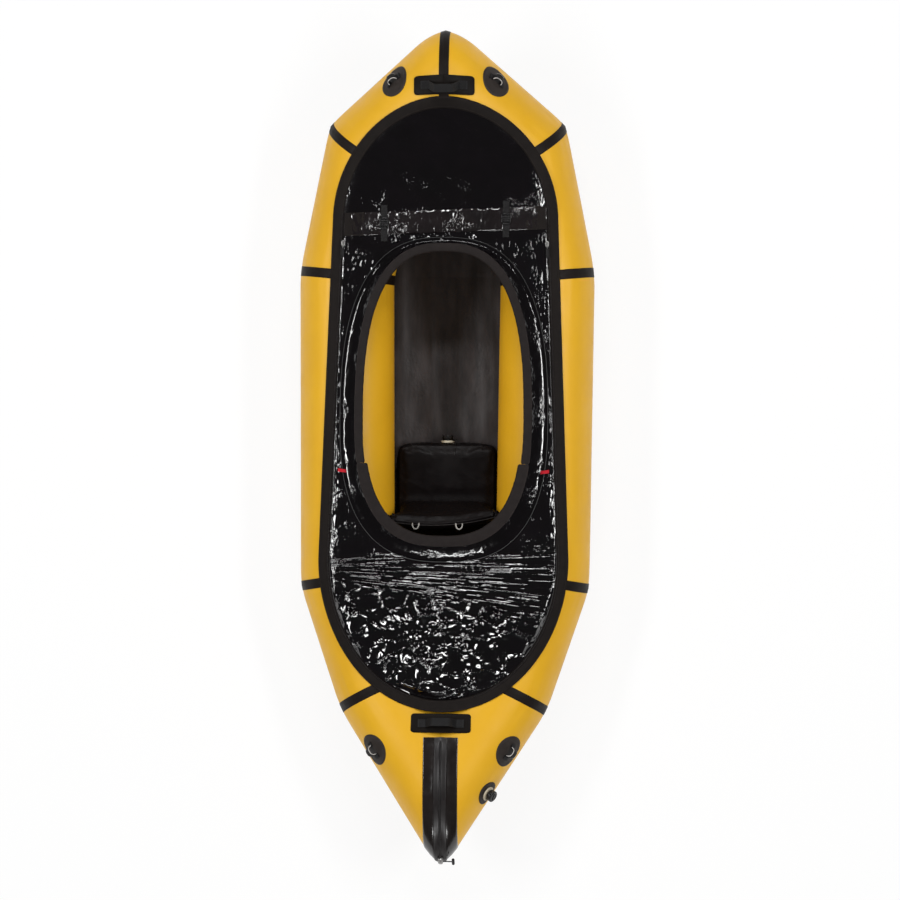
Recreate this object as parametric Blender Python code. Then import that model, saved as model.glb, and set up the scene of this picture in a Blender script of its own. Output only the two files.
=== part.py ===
"""Packraft with a zip-on spray deck, in metres, +Y towards the bow, +X to starboard, +Z up.

The hull is a ring of ten inflated panels. Every layer that lies on it (seam tapes, zip band, base
strip, deck, patches) takes its place from the same tube sections, moved out by its own layer height.
"""

import math

import bmesh
import bpy
import numpy as np
from mathutils import Vector

# Hull tube
HULL_LENGTH = 2.585
HULL_BEAM = 0.910
TUBE_RADIUS = 0.145
TUBE_WALL = 0.001
TUBE_SIDES = 20
BOW_RISE = 0.160
BOW_QUARTER_RISE = 0.030
STERN_QUARTER_RISE = 0.020
STERN_RISE = 0.080
CORNER_ALONG_SHARES = (1.0, 0.772, 0.423, -0.331, -0.6235, -1.0)
CORNER_ABREAST_SHARES = (0.0, 0.797, 1.0, 0.980, 0.698, 0.0)
BOW_DRAW_IN = 0.035
SEAM_DRAW_IN = 0.004
STERN_DRAW_IN = 0.036
BOW_BLEND = 0.095
SEAM_BLEND = 0.050
SEAM_GAP = 0.0003

# Layers on the tube
LAYER_GAP = 0.0003
TAPE_WIDTH = 0.030
TAPE_THICKNESS = 0.0006
FLOOR_THICKNESS = 0.0010
FLOOR_LAP_DEGREES = 36.0

# Base strip and deck
DECK_BOW_SETBACK = 0.052
DECK_STERN_SETBACK = 0.229
DECK_BOW_LAP = 0.066
DECK_STERN_LAP = 0.080
DECK_BOW_ROUND = 0.362
DECK_STERN_ROUND = 0.460
BASE_STRIP_WIDTH = 0.040
BASE_STRIP_THICKNESS = 0.0010
BASE_LIFT = 0.0012
HEM_INSET = 0.036
DECK_THICKNESS = 0.0010
DECK_FOLD_HEIGHT = 0.009
DECK_FOLD_START = -0.330
DECK_FOLD_FADE = 0.090
DECK_LIFT = 0.0066
BAND_WIDTH = 0.070
BAND_SKEW = 0.026
BAND_LIFT = 0.0016
BAND_THICKNESS = 0.0012
BAND_FROM_HULL_MIDDLE = 0.690

# Cockpit
COCKPIT_FRONT = 0.595
COCKPIT_BACK = -0.270
COCKPIT_WIDEST = 0.090
COCKPIT_HALF_WIDTH_SHARE = 0.26594
COCKPIT_ROUND_POWER = 2.6
COAMING_WIDTH = 0.028
COAMING_SLEEVE_WIDTH = 0.036
COAMING_HEIGHT = 0.014
COAMING_STAND = 0.045
COAMING_SPLIT_Y = -0.045
COLLAR_SPREAD = 0.036
COLLAR_HEM = 0.010
COLLAR_THICKNESS = 0.0012

# Grab loops and handles
GRAB_PATCH_RADIUS = 0.050
GRAB_PATCH_THICKNESS = 0.0012
GRAB_LEAN_DEGREES = 53.0
GRAB_BOW_ALONG = 0.082
GRAB_STERN_ALONG = 0.190
LOOP_WEBBING = 0.020
LOOP_THICKNESS = 0.0025
LOOP_SPAN = 0.030
LOOP_HEIGHT = 0.022
LOOP_FOOT = 0.012
HANDLE_PATCH_WIDTH = 0.182
HANDLE_PATCH_LENGTH = 0.057
HANDLE_PATCH_THICKNESS = 0.0014
HANDLE_WEBBING = 0.025
HANDLE_THICKNESS = 0.0030
HANDLE_SPAN = 0.140
HANDLE_STAND = 0.024
HANDLE_FOOT = 0.024
HANDLE_BOW_GAP = 0.004
HANDLE_STERN_GAP = 0.004

# Cargo zip at the stern
ZIP_BAND_HALF_WIDTH = 0.0525
ZIP_BAND_THICKNESS = 0.0012
ZIP_CHAIN_HALF_WIDTH = 0.019
ZIP_ARC_RADIUS = 0.300
ZIP_TAPE_THICKNESS = 0.0010
ZIP_BEAD_WIDTH = 0.008
ZIP_BEAD_HEIGHT = 0.0035
ZIP_SLIDER_WIDTH = 0.016
ZIP_SLIDER_LENGTH = 0.028
ZIP_SLIDER_HEIGHT = 0.007
ZIP_SLIDER_GAP = 0.0027
ZIP_END_GAP = 0.014
ZIP_CHAIN_LIFT = 0.0020
ZIP_END_LIFT = 0.003
ZIP_CLOSED_DEGREES = 3.0
PULL_CORD_RADIUS = 0.0015
PULL_CORD_LENGTH = 0.026
PULL_BAR_RADIUS = 0.0045
PULL_BAR_LENGTH = 0.026

# Deck zip sliders
DECK_SLIDER_LENGTH = 0.020
DECK_SLIDER_WIDTH = 0.012
DECK_SLIDER_HEIGHT = 0.005
DECK_ZIP_TRAVEL = 0.780
DECK_TAB_LENGTH = 0.026
DECK_TAB_WIDTH = 0.008
DECK_TAB_THICKNESS = 0.0016

# Main valve
VALVE_ALONG = 0.050
VALVE_LEAN_DEGREES = 64.0
VALVE_PATCH_RADIUS = 0.038
VALVE_PATCH_THICKNESS = 0.0014
VALVE_BODY_RADIUS = 0.022
VALVE_BODY_HEIGHT = 0.013
VALVE_NECK_RADIUS = 0.012
VALVE_NECK_HEIGHT = 0.011
VALVE_BORE_RADIUS = 0.008
VALVE_SEAL_RADIUS = 0.015
VALVE_SEAL_HEIGHT = 0.0022
VALVE_CAP_RADIUS = 0.0175
VALVE_CAP_HEIGHT = 0.0165
VALVE_CAP_WALL = 0.0022
VALVE_CAP_RIBS = 14
VALVE_CAP_RIB_DEPTH = 0.0011
VALVE_CLEARANCE = 0.0006

# Seat, backrest and seat valve
SEAT_FRONT = 0.022
SEAT_BACK = -0.235
SEAT_HEIGHT = 0.095
SEAT_CROWN = 0.020
SEAT_DRAWN_IN = 0.012
SEAT_GROOVE_DEPTH = 0.0035
BACKREST_FOOT_Y = -0.182
BACKREST_LEAN_DEGREES = 13.0
BACKREST_HEIGHT = 0.165
BACKREST_THICKNESS = 0.042
BACKREST_FOOT_WIDTH = 0.290
BACKREST_TOP_WIDTH = 0.370
BACKREST_CROWN = 0.012
CORD_RADIUS = 0.002
CORD_LOOP_RADIUS = 0.013
CORD_LOOP_ASIDE = 0.080
SEAT_VALVE_RADIUS = 0.021
SEAT_VALVE_BASE = 0.003
SEAT_VALVE_NECK = 0.011
SEAT_VALVE_NECK_HEIGHT = 0.014
SEAT_VALVE_BORE = 0.0075
SEAT_VALVE_CAP_RADIUS = 0.0165
SEAT_VALVE_CAP_WALL = 0.002

# Strap and buckle
STRAP_WIDTH = 0.020
STRAP_THICKNESS = 0.0016
STRAP_LENGTH = 0.110
STRAP_ASIDE = 0.185
BUCKLE_WIDTH = 0.028
BUCKLE_LENGTH = 0.034
BUCKLE_THICKNESS = 0.0045
BUCKLE_BAR = 0.004
BUCKLE_SLOT_WIDTH = 0.0215

# Mesh steps and shares
FAN_STEPS = 33
STRAP_SAMPLES = 9
DECK_FOLD_WAVES = 7
FAN_SAMPLES = (0, 20, 31, 37, 40)
DECK_SAMPLES = (0, 7, 14, 20, 26, 33, 40)
DECK_FOLD_SHARES = (0.0, 0.0, 1.0, 0.15, 0.8, 0.1, 1.0, 0.0)
BAND_ACROSS_SHARES = (0.0, 0.45, 0.83, 0.93, 1.0)
BAND_BUTT = 0.0006
COLLAR_FRONT_SPREAD = 0.008
COLLAR_WALL_SHARE = 0.55
COLLAR_RISE_SHARE = 0.55
FRONT_STATIONS = 28
REAR_STATIONS = 18
PAD_ACROSS_SHARES = (0.0, 0.2, 0.5, 0.8, 1.0, 0.8, 0.5, 0.2)
PAD_UP_SHARES = (0.5, 0.12, 0.0, 0.12, 0.5, 0.88, 1.0, 0.88)
PATCH_SIDES = 20
PATCH_RING_SHARES = (1.0, 0.5, 0.0)
PATCH_FOOT = 0.0009
LOOP_LIFT = 0.0008
LOOP_STATIONS = 11
PATCH_COLUMNS = 13
PATCH_ROWS = 4
HANDLE_BOW_PATCH_LIFT = 0.0020
HANDLE_STERN_PATCH_LIFT = 0.0003
HANDLE_SHOULDER = 0.022
HANDLE_SHOULDER_SHARES = (0.35, 0.65, 1.0)
HANDLE_RISE_SHARES = (0.30, 0.78, 1.0)
VALVE_SIDES = 24
SEAT_SIDES = 32
SEAT_HALF_WIDTH = 0.152
SEAT_ROUND_POWER = 5.0
SEAT_WALL_SHARES = (0.0, 0.22, 0.55, 0.88, 1.0)
SEAT_SIDE_SHARES = (0.7, 0.0, 0.45, 0.0, 0.5)
SEAT_TOP_SHARES = (0.90, 0.85, 0.80, 0.60, 0.35, 0.0)
SEAT_GROOVE_SHARE = 0.85
BACKREST_SIDES = 24
BACKREST_LEVELS = 12
BACKREST_FOOT_GAP = 0.0004
FLARE_FROM_SHARE = 0.45
CORD_STATIONS = 9
SLIDER_LIFT = 0.0015
SLIDER_DIP = 0.0007
SLIDER_ALONG_SHARES = (-0.5, -0.2, 0.2, 0.5)
SLIDER_WIDTH_SHARES = (0.55, 1.0, 0.9, 0.7)
TAB_HOLE_SHARE = 0.45

# Stacked layer heights above the tube
COCKPIT_HALF_WIDTH = COCKPIT_HALF_WIDTH_SHARE * HULL_BEAM
TAPE_FOOT = LAYER_GAP
TAPE_TOP = TAPE_FOOT + TAPE_THICKNESS
FLOOR_TOP = TAPE_TOP + LAYER_GAP
FLOOR_UNDER = FLOOR_TOP + FLOOR_THICKNESS
TUBE_LEVEL = TUBE_RADIUS + FLOOR_UNDER
BASE_FOOT = TAPE_TOP + BASE_LIFT
BASE_TOP = BASE_FOOT + BASE_STRIP_THICKNESS
SEAT_FOOT = TUBE_LEVEL - TUBE_RADIUS - FLOOR_TOP + LAYER_GAP
COAMING_FOOT = TUBE_LEVEL + TUBE_RADIUS + COAMING_STAND
ANGLES = np.arange(TUBE_SIDES) * math.tau / TUBE_SIDES
ZIP_ANGLES = np.arange(-1, 8) * math.tau / TUBE_SIDES

YELLOW = ("hull_fabric", (0.78, 0.43, 0.03), 0.45, 0.0)
TAPE_BLACK = ("seam_tape", (0.035, 0.030, 0.030), 0.70, 0.0)
FLOOR_BLACK = ("floor_fabric", (0.020, 0.020, 0.021), 0.45, 0.0)
DECK_BLACK = ("deck_fabric", (0.006, 0.006, 0.007), 0.22, 0.0)
STRIP_BLACK = ("strip_fabric", (0.025, 0.023, 0.023), 0.60, 0.0)
COAMING_GREY = ("coaming_fabric", (0.032, 0.032, 0.034), 0.80, 0.0)
PATCH_GREY = ("patch_rubber", (0.040, 0.035, 0.034), 0.65, 0.0)
WEBBING_BLACK = ("webbing", (0.012, 0.012, 0.012), 0.80, 0.0)
PLASTIC_BLACK = ("black_plastic", (0.010, 0.010, 0.011), 0.40, 0.0)
PLASTIC_BEIGE = ("valve_plastic", (0.55, 0.49, 0.38), 0.45, 0.0)
SEAL_RUBBER = ("seal_rubber", (0.03, 0.03, 0.03), 0.60, 0.0)
ZIP_GREY = ("zip_rubber", (0.045, 0.043, 0.046), 0.50, 0.0)
SLIDER_METAL = ("slider_metal", (0.35, 0.34, 0.34), 0.35, 1.0)
SEAT_BLACK = ("seat_fabric", (0.014, 0.014, 0.015), 0.60, 0.0)
CORD_GREY = ("cord", (0.45, 0.45, 0.43), 0.80, 0.0)


def unit(vector):
    """The vector, or each vector of an array, at length one."""
    return vector / np.linalg.norm(vector, axis=-1, keepdims=True)


def mirrored(points):
    """The same points on the port side."""
    return points * np.array([-1.0, 1.0, 1.0])


def material_of(finish):
    """The material that a finish names, made once."""
    name, colour, roughness, metallic = finish
    material = bpy.data.materials.get(name)
    if material is None:
        material = bpy.data.materials.new(name)
        material.use_nodes = True
        shader = material.node_tree.nodes["Principled BSDF"]
        shader.inputs["Base Color"].default_value = (*colour, 1.0)
        shader.inputs["Roughness"].default_value = roughness
        shader.inputs["Metallic"].default_value = metallic
        material.diffuse_color = (*colour, 1.0)
    return material


def add_piece(name, points, faces, finish, pivot=(0.0, 0.0, 0.0), parent=None):
    """A named mesh object whose origin is at the pivot, with doubled points merged and faces out."""
    pivot = np.array(pivot, float)
    mesh = bpy.data.meshes.new(name)
    mesh.from_pydata((np.asarray(points) - pivot).tolist(), [], [list(map(int, face)) for face in faces])
    work = bmesh.new()
    work.from_mesh(mesh)
    bmesh.ops.remove_doubles(work, verts=work.verts, dist=SMALLEST)
    bare = [edge for edge in work.edges if not edge.link_faces]
    bmesh.ops.delete(work, geom=bare, context="EDGES")
    bmesh.ops.recalc_face_normals(work, faces=work.faces)
    work.to_mesh(mesh)
    work.free()
    mesh.shade_smooth()
    mesh.set_sharp_from_angle(angle=math.radians(40.0))
    mesh.materials.append(material_of(finish))
    piece = bpy.data.objects.new(name, mesh)
    bpy.context.scene.collection.objects.link(piece)
    piece.location = Vector(pivot)
    if parent is not None:
        piece.parent = parent
        piece.matrix_parent_inverse = parent.matrix_world.inverted()
    bpy.context.view_layer.update()
    return piece


SMALLEST = TUBE_WALL / 1000


def grid_triangles(index, turned):
    """Two triangles for each cell of an index grid, cut along the other diagonal where turned is true."""
    a, b = index[:-1, :-1], index[:-1, 1:]
    c, d = index[1:, 1:], index[1:, :-1]
    straight = np.stack([np.stack([a, b, c], -1), np.stack([a, c, d], -1)], 2)
    crossed = np.stack([np.stack([a, b, d], -1), np.stack([b, c, d], -1)], 2)
    return np.where(turned[:, :, None, None], crossed, straight).reshape(-1, 3)


def slab(outer, inner, wrap_rows=False, wrap_cols=False, turned=None):
    """A closed solid between two like grids: both surfaces, and a rim along each open border."""
    rows, cols = outer.shape[:2]
    index = np.arange(rows * cols).reshape(rows, cols)
    if wrap_rows:
        index = np.vstack([index, index[:1]])
    if wrap_cols:
        index = np.hstack([index, index[:, :1]])
    if turned is None:
        turned = np.zeros((index.shape[0] - 1, index.shape[1] - 1), bool)
    shift = rows * cols
    top = grid_triangles(index, turned)
    faces = [top, top[:, ::-1] + shift]
    borders = []
    if not wrap_rows:
        borders += [index[0], index[-1][::-1]]
    if not wrap_cols:
        borders += [index[:, -1], index[:, 0][::-1]]
    for border in borders:
        a, b = border[:-1], border[1:]
        faces.append(np.stack([a, a + shift, b + shift, b], -1))
    points = np.concatenate([outer.reshape(-1, 3), inner.reshape(-1, 3)])
    return points, [face for block in faces for face in block.tolist()]


def loft(sections, closed=False):
    """A solid through closed sections (count, points, 3), with flat ends unless it closes on itself."""
    count, around = sections.shape[:2]
    index = np.arange(count * around).reshape(count, around)
    index = np.hstack([index, index[:, :1]])
    if closed:
        index = np.vstack([index, index[:1]])
    a, b = index[:-1, :-1], index[:-1, 1:]
    c, d = index[1:, 1:], index[1:, :-1]
    faces = np.stack([a, b, c, d], -1).reshape(-1, 4).tolist()
    if not closed:
        faces.append(index[0, :-1].tolist())
        faces.append(index[-1, :-1][::-1].tolist())
    return sections.reshape(-1, 3), faces


# The tube's axis and its sections


def tube_axis():
    """Starboard corners of the tube's axis: the outline's corners moved in by the radius, and lifted."""
    along = np.array(CORNER_ALONG_SHARES) * HULL_LENGTH / 2
    abreast = np.array(CORNER_ABREAST_SHARES) * HULL_BEAM / 2
    outline = np.column_stack([abreast, along])
    run = unit(np.diff(outline, axis=0))
    inward = np.column_stack([run[:, 1], -run[:, 0]])
    flip = np.array([-1.0, 1.0])
    before = np.vstack([inward[:1] * flip, inward])
    after = np.vstack([inward, inward[-1:] * flip])
    lean = 1 + np.sum(before * after, axis=1, keepdims=True)
    flat = outline + TUBE_RADIUS * (before + after) / lean
    rise = np.array([BOW_RISE, BOW_QUARTER_RISE, 0.0, 0.0, STERN_QUARTER_RISE, STERN_RISE])
    return np.column_stack([flat, TUBE_LEVEL + rise])


AXIS = tube_axis()
RUN = unit(np.diff(AXIS, axis=0))
LAST = len(AXIS) - 1


def seam_normals():
    """The normal of each seam's plane, which halves the bend there; bow and stern lie in the middle plane."""
    middle = unit(RUN[:-1] + RUN[1:])
    sideways = np.array([[1.0, 0.0, 0.0]])
    return np.vstack([sideways, middle, -sideways])


SEAM_NORMAL = seam_normals()


def reflected(vector, normal):
    """The vector mirrored in the plane with this normal."""
    return vector - 2 * np.dot(vector, normal) * normal


def tube_frames():
    """For each panel the directions outboard and up, square to its run, carried from the side panel."""
    count = len(RUN)
    side = count // 2
    outboard = np.zeros((count, 3))
    upward = np.zeros((count, 3))
    outboard[side] = unit(np.cross([0.0, 0.0, 1.0], RUN[side]))
    upward[side] = np.cross(RUN[side], outboard[side])
    for panel in range(side + 1, count):
        outboard[panel] = reflected(outboard[panel - 1], SEAM_NORMAL[panel])
        upward[panel] = reflected(upward[panel - 1], SEAM_NORMAL[panel])
    for panel in range(side - 1, -1, -1):
        outboard[panel] = reflected(outboard[panel + 1], SEAM_NORMAL[panel + 1])
        upward[panel] = reflected(upward[panel + 1], SEAM_NORMAL[panel + 1])
    return outboard, upward


OUTBOARD, UPWARD = tube_frames()


def mitre_ring(panel, seam, layer, angles):
    """The panel's cylinder, moved out by a layer height, cut by the plane of a seam."""
    radius = TUBE_RADIUS + layer
    spoke = radius * (np.outer(np.cos(angles), OUTBOARD[panel]) + np.outer(np.sin(angles), UPWARD[panel]))
    slip = spoke @ SEAM_NORMAL[seam] / (RUN[panel] @ SEAM_NORMAL[seam])
    return AXIS[seam] + spoke - np.outer(slip, RUN[panel])


def draw_in_of(seam):
    """How far the seam's outer side is pulled in from a sharp mitre."""
    if seam == 0:
        return BOW_DRAW_IN
    return STERN_DRAW_IN if seam == LAST else SEAM_DRAW_IN


def blend_of(seam):
    """How far from a seam's plane its pull still shows."""
    if seam == 0:
        return BOW_BLEND
    return ZIP_BAND_HALF_WIDTH if seam == LAST else SEAM_BLEND


def zip_arc_centre():
    """Centre (y, z), in the middle plane, of the round path that the cargo zip follows over the stern."""
    ring = mitre_ring(LAST - 1, LAST, 0.0, np.array([0.0, math.pi / 2]))
    reach = np.linalg.norm(ring[0] - AXIS[LAST])
    tip = AXIS[LAST] + (ring[0] - AXIS[LAST]) * (1 - STERN_DRAW_IN / reach)
    tip, top = tip[1:], ring[1][1:]
    chord = top - tip
    half = np.linalg.norm(chord) / 2
    across = unit(np.array([chord[1], -chord[0]]))
    return (tip + top) / 2 + across * math.sqrt(ZIP_ARC_RADIUS**2 - half**2)


ZIP_CENTRE = zip_arc_centre()


def drawn_ring(panel, seam, layer, angles):
    """The seam's own ring: the mitre with its outer side pulled in, and at the stern the zip's round path."""
    ideal = mitre_ring(panel, seam, layer, angles)
    spoke = mitre_ring(panel, seam, 0.0, np.array([0.0]))[0] - AXIS[seam]
    reach = np.linalg.norm(spoke)
    outward = spoke / reach
    along = (ideal - AXIS[seam]) @ outward
    pull = np.where(along > 0, along * draw_in_of(seam) / reach, 0.0)
    drawn = ideal - np.outer(pull, outward)
    if seam == LAST:
        radius = ZIP_ARC_RADIUS + layer
        off = drawn[:, 1] - ZIP_CENTRE[0]
        arc = ZIP_CENTRE[1] + np.sqrt(np.maximum(radius**2 - off**2, 0.0))
        upper = np.sin(angles) > -SMALLEST
        drawn[:, 2] = np.where(upper & (along > 0), arc, drawn[:, 2])
        drawn[:, 2] = np.where(upper & (along <= 0), np.maximum(arc, drawn[:, 2]), drawn[:, 2])
    return drawn


def hull_ring(panel, seam, away, layer=0.0, angles=ANGLES):
    """Ring of the panel's surface at a distance from a seam's plane, moved out by a layer height."""
    ideal = mitre_ring(panel, seam, layer, angles)
    sign = 1.0 if seam == panel else -1.0
    step = away / abs(RUN[panel] @ SEAM_NORMAL[seam])
    fade = max(0.0, 1 - away / blend_of(seam)) ** 2
    pull = drawn_ring(panel, seam, layer, angles) - ideal
    return ideal + sign * step * RUN[panel] + fade * pull


def distances_from(seam):
    """Distances from a seam's plane at which the panels have a ring."""
    if seam == 0:
        return [SEAM_GAP / 2, TAPE_WIDTH / 2, BOW_BLEND / 2, BOW_BLEND]
    if seam == LAST:
        return [SEAM_GAP / 2, ZIP_CHAIN_HALF_WIDTH, ZIP_BAND_HALF_WIDTH]
    return [SEAM_GAP / 2, TAPE_WIDTH / 2, SEAM_BLEND]


def panel_stations(panel):
    """(seam, distance) of each ring of a panel, from its forward end to its after end."""
    forward = [(panel, away) for away in distances_from(panel)]
    after = [(panel + 1, away) for away in reversed(distances_from(panel + 1))]
    return forward + after


def panel_grid(panel, layer, angles=ANGLES):
    """Grid of the panel's surface: a row for each ring, a column for each angle round the tube."""
    return np.array([hull_ring(panel, seam, away, layer, angles) for seam, away in panel_stations(panel)])


def over_hull(x, y, layer=0.0):
    """Height of the mitred tubes over plan points, and the surface's normal; -1 where no tube lies."""
    x, y = np.broadcast_arrays(np.asarray(x, float), np.asarray(y, float))
    side = np.where(x < 0, -1.0, 1.0)
    plan = np.stack([np.abs(x), y, np.zeros_like(x)], -1)
    radius = TUBE_RADIUS + layer
    best = np.full(x.shape, -1.0)
    normal = np.zeros(x.shape + (3,))
    normal[..., 2] = 1.0
    for panel, run in enumerate(RUN):
        rel = plan - AXIS[panel]
        flat = rel - (rel @ run)[..., None] * run
        rise = np.array([0.0, 0.0, 1.0]) - run[2] * run
        half = flat @ rise
        square = half**2 - (rise @ rise) * (np.sum(flat**2, -1) - radius**2)
        height = (-half + np.sqrt(np.maximum(square, 0.0))) / (rise @ rise)
        point = plan.copy()
        point[..., 2] = height
        inside = (square >= 0) & ((point - AXIS[panel]) @ SEAM_NORMAL[panel] >= -SMALLEST)
        inside &= (point - AXIS[panel + 1]) @ SEAM_NORMAL[panel + 1] <= SMALLEST
        better = inside & (height > best)
        best = np.where(better, height, best)
        rel = point - AXIS[panel]
        spoke = unit(rel - (rel @ run)[..., None] * run)
        normal = np.where(better[..., None], spoke, normal)
    return best, normal * np.stack([side, np.ones_like(side), np.ones_like(side)], -1)


def bridged(x, y, layer):
    """Height of a strip laid over the tubes by a layer, which spans the cleft between them at either end."""
    wide = np.maximum(np.abs(x), HANDLE_PATCH_WIDTH / 2)
    span, lean = over_hull(wide, y)
    rest, slope = over_hull(x, y)
    return np.maximum(span + layer / lean[..., 2], rest + layer / slope[..., 2])


def axis_at(y):
    """Distance of the tube's axis from the middle plane at a place along the hull."""
    return np.interp(-np.asarray(y, float), -AXIS[:, 1], AXIS[:, 0])


def taut_height(y):
    """Height of a sheet pulled flat between the tops of the two tubes."""
    y = np.clip(y, AXIS[-1, 1] + SEAM_GAP, AXIS[0, 1] - SEAM_GAP)
    return over_hull(np.maximum(axis_at(y), SEAM_GAP), y)[0]


def sheet_height(x, y):
    """Height of a taut sheet over plan points: flat between the tubes' tops, then down over the tube."""
    rest = over_hull(x, y)[0]
    return np.where(np.abs(x) < axis_at(y), np.maximum(taut_height(y), rest), rest)


# Plan curves of the deck

DECK_BOW_END = AXIS[0, 1] - DECK_BOW_SETBACK
DECK_STERN_END = AXIS[-1, 1] + DECK_STERN_SETBACK
DECK_BOW_CENTRE = DECK_BOW_END - DECK_BOW_ROUND
DECK_STERN_CENTRE = DECK_STERN_END + DECK_STERN_ROUND
DECK_BOW_HALF = float(axis_at(DECK_BOW_CENTRE)) + DECK_BOW_LAP
DECK_STERN_HALF = float(axis_at(DECK_STERN_CENTRE)) + DECK_STERN_LAP
ZIP_FORWARD_END = DECK_STERN_END - HANDLE_STERN_GAP - HANDLE_PATCH_LENGTH - ZIP_END_GAP
OUTLINE_STEPS = 90
TAUT_SAMPLES = 40
BEARING_FINE = 60
STRIP_STEPS = 112
DECK_STEPS = 76
HUB_Y = (COCKPIT_FRONT + COCKPIT_BACK) / 2


def deck_outline(inset=0.0):
    """Dense plan curve of the deck: a half ellipse at each end and straight sides, moved in by an inset."""
    turn = np.linspace(0.0, math.pi, OUTLINE_STEPS)
    bow = np.column_stack([
        (DECK_BOW_HALF - inset) * np.cos(turn),
        DECK_BOW_CENTRE + (DECK_BOW_ROUND - inset) * np.sin(turn),
    ])
    stern = np.column_stack([
        -(DECK_STERN_HALF - inset) * np.cos(turn),
        DECK_STERN_CENTRE - (DECK_STERN_ROUND - inset) * np.sin(turn),
    ])
    return np.vstack([bow, stern])


def cockpit_curve(grow=0.0, ends=None):
    """Dense plan curve of the cockpit's inner edge, grown outwards, by its own amount at the front end."""
    turn = np.linspace(0.0, math.tau, 2 * OUTLINE_STEPS, endpoint=False)
    power = 2 / COCKPIT_ROUND_POWER
    c, s = np.cos(turn), np.sin(turn)
    length = np.where(s > 0, COCKPIT_FRONT - COCKPIT_WIDEST, COCKPIT_WIDEST - COCKPIT_BACK)
    ends = grow if ends is None else np.where(s > 0, ends, grow)
    x = (COCKPIT_HALF_WIDTH + grow) * np.sign(c) * np.abs(c) ** power
    y = COCKPIT_WIDEST + (length + ends) * np.sign(s) * np.abs(s) ** power
    return np.column_stack([x, y])


def by_bearing(curve, bearings):
    """Points where rays from the hub of the cockpit cross a plan curve that surrounds it."""
    curve = curve[np.argsort(np.arctan2(curve[:, 1] - HUB_Y, curve[:, 0]))]
    curve = np.vstack([curve, curve[:1]])
    between = np.arange(BEARING_FINE) / BEARING_FINE
    curve = (curve[:-1, None] + between[:, None] * np.diff(curve, axis=0)[:, None]).reshape(-1, 2)
    rel = curve - np.array([0.0, HUB_Y])
    angle = np.arctan2(rel[:, 1], rel[:, 0])
    order = np.argsort(angle)
    angle, rel = angle[order], rel[order]
    angle = np.concatenate([angle - math.tau, angle, angle + math.tau])
    reach = np.tile(np.linalg.norm(rel, axis=1), 3)
    wrapped = (np.asarray(bearings) + math.pi) % math.tau - math.pi
    radius = np.interp(wrapped, angle, reach)
    return np.column_stack([radius * np.cos(bearings), HUB_Y + radius * np.sin(bearings)])


def ring_bearings(count):
    """Bearings from the hub that share the deck's outline out into equal lengths."""
    curve = deck_outline()
    curve = np.vstack([curve, curve[:1]])
    walked = np.concatenate([[0.0], np.cumsum(np.linalg.norm(np.diff(curve, axis=0), axis=1))])
    at = np.arange(count) * walked[-1] / count
    x = np.interp(at, walked, curve[:, 0])
    y = np.interp(at, walked, curve[:, 1])
    return np.sort(np.arctan2(y - HUB_Y, x))


def outline_half(y, inset):
    """Half the breadth of the deck's outline at a place along the hull."""
    curve = deck_outline(inset)
    curve = curve[curve[:, 0] >= 0]
    curve = curve[np.argsort(curve[:, 1])]
    return np.interp(y, curve[:, 1], curve[:, 0])


def pulled_taut(inner, outer, start, end, steps):
    """Points at chosen samples of strings pulled taut over the tubes, between ends of given heights."""
    shares = np.linspace(0.0, 1.0, TAUT_SAMPLES + 1)
    plan = inner[:, None] + shares[:, None] * (outer - inner)[:, None]
    height = bridged(plan[..., 0], plan[..., 1], 0.0)
    height[:, 0] = start
    height[:, -1] = end
    heights = []
    for step in steps:
        before, after = height[:, : step + 1], height[:, step:]
        span = shares[step:] - shares[: step + 1, None]
        part = (shares[step] - shares[: step + 1, None]) / np.where(span > 0, span, 1.0)
        line = before[:, :, None] + (after[:, None, :] - before[:, :, None]) * part
        heights.append(line.max(axis=(1, 2)))
    return plan[:, list(steps)], np.stack(heights, 1)


def band_line(x, forward):
    """Place along the hull of the deck band's edges, which run slightly askew."""
    middle = BAND_FROM_HULL_MIDDLE + BAND_SKEW * np.asarray(x) / (2 * DECK_BOW_HALF)
    return middle + (forward - 0.5) * BAND_WIDTH


# Builders


def build_hull():
    """Ten open-ended panels of tube, five on each side."""
    names = ("bow", "bow_quarter", "side", "stern_quarter", "stern")
    for panel, name in enumerate(names):
        outer = panel_grid(panel, 0.0)
        inner = panel_grid(panel, -TUBE_WALL)
        for side, turn in (("starboard", 1), ("port", -1)):
            scale = np.array([turn, 1.0, 1.0])
            points, faces = slab(outer * scale, inner * scale, wrap_cols=True)
            add_piece(f"hull_{name}_{side}", points, faces, YELLOW)


def build_tapes():
    """The seam tapes: a narrow ring over each seam, and one over the bow's middle seam."""
    names = {1: "bow_quarter_tape", 2: "front_side_tape", 3: "rear_side_tape", 4: "stern_quarter_tape"}
    half = TAPE_WIDTH / 2

    def rings(seam, layer):
        return np.array([
            hull_ring(seam - 1, seam, half, layer),
            hull_ring(seam, seam, 0.0, layer),
            hull_ring(seam, seam, half, layer),
        ])

    for seam, name in names.items():
        outer, inner = rings(seam, TAPE_TOP), rings(seam, TAPE_FOOT)
        for side, turn in (("starboard", 1), ("port", -1)):
            scale = np.array([turn, 1.0, 1.0])
            points, faces = slab(outer * scale, inner * scale, wrap_cols=True)
            add_piece(f"{name}_{side}", points, faces, TAPE_BLACK)

    def bow_rings(layer):
        edge = hull_ring(0, 0, half, layer)
        return np.array([mirrored(edge), hull_ring(0, 0, 0.0, layer), edge])

    outer, inner = bow_rings(TAPE_TOP), bow_rings(TAPE_FOOT)
    turned = np.zeros((2, TUBE_SIDES), bool)
    turned[0] = True
    points, faces = slab(outer, inner, wrap_cols=True, turned=turned)
    add_piece("bow_tape", points, faces, TAPE_BLACK)


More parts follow.
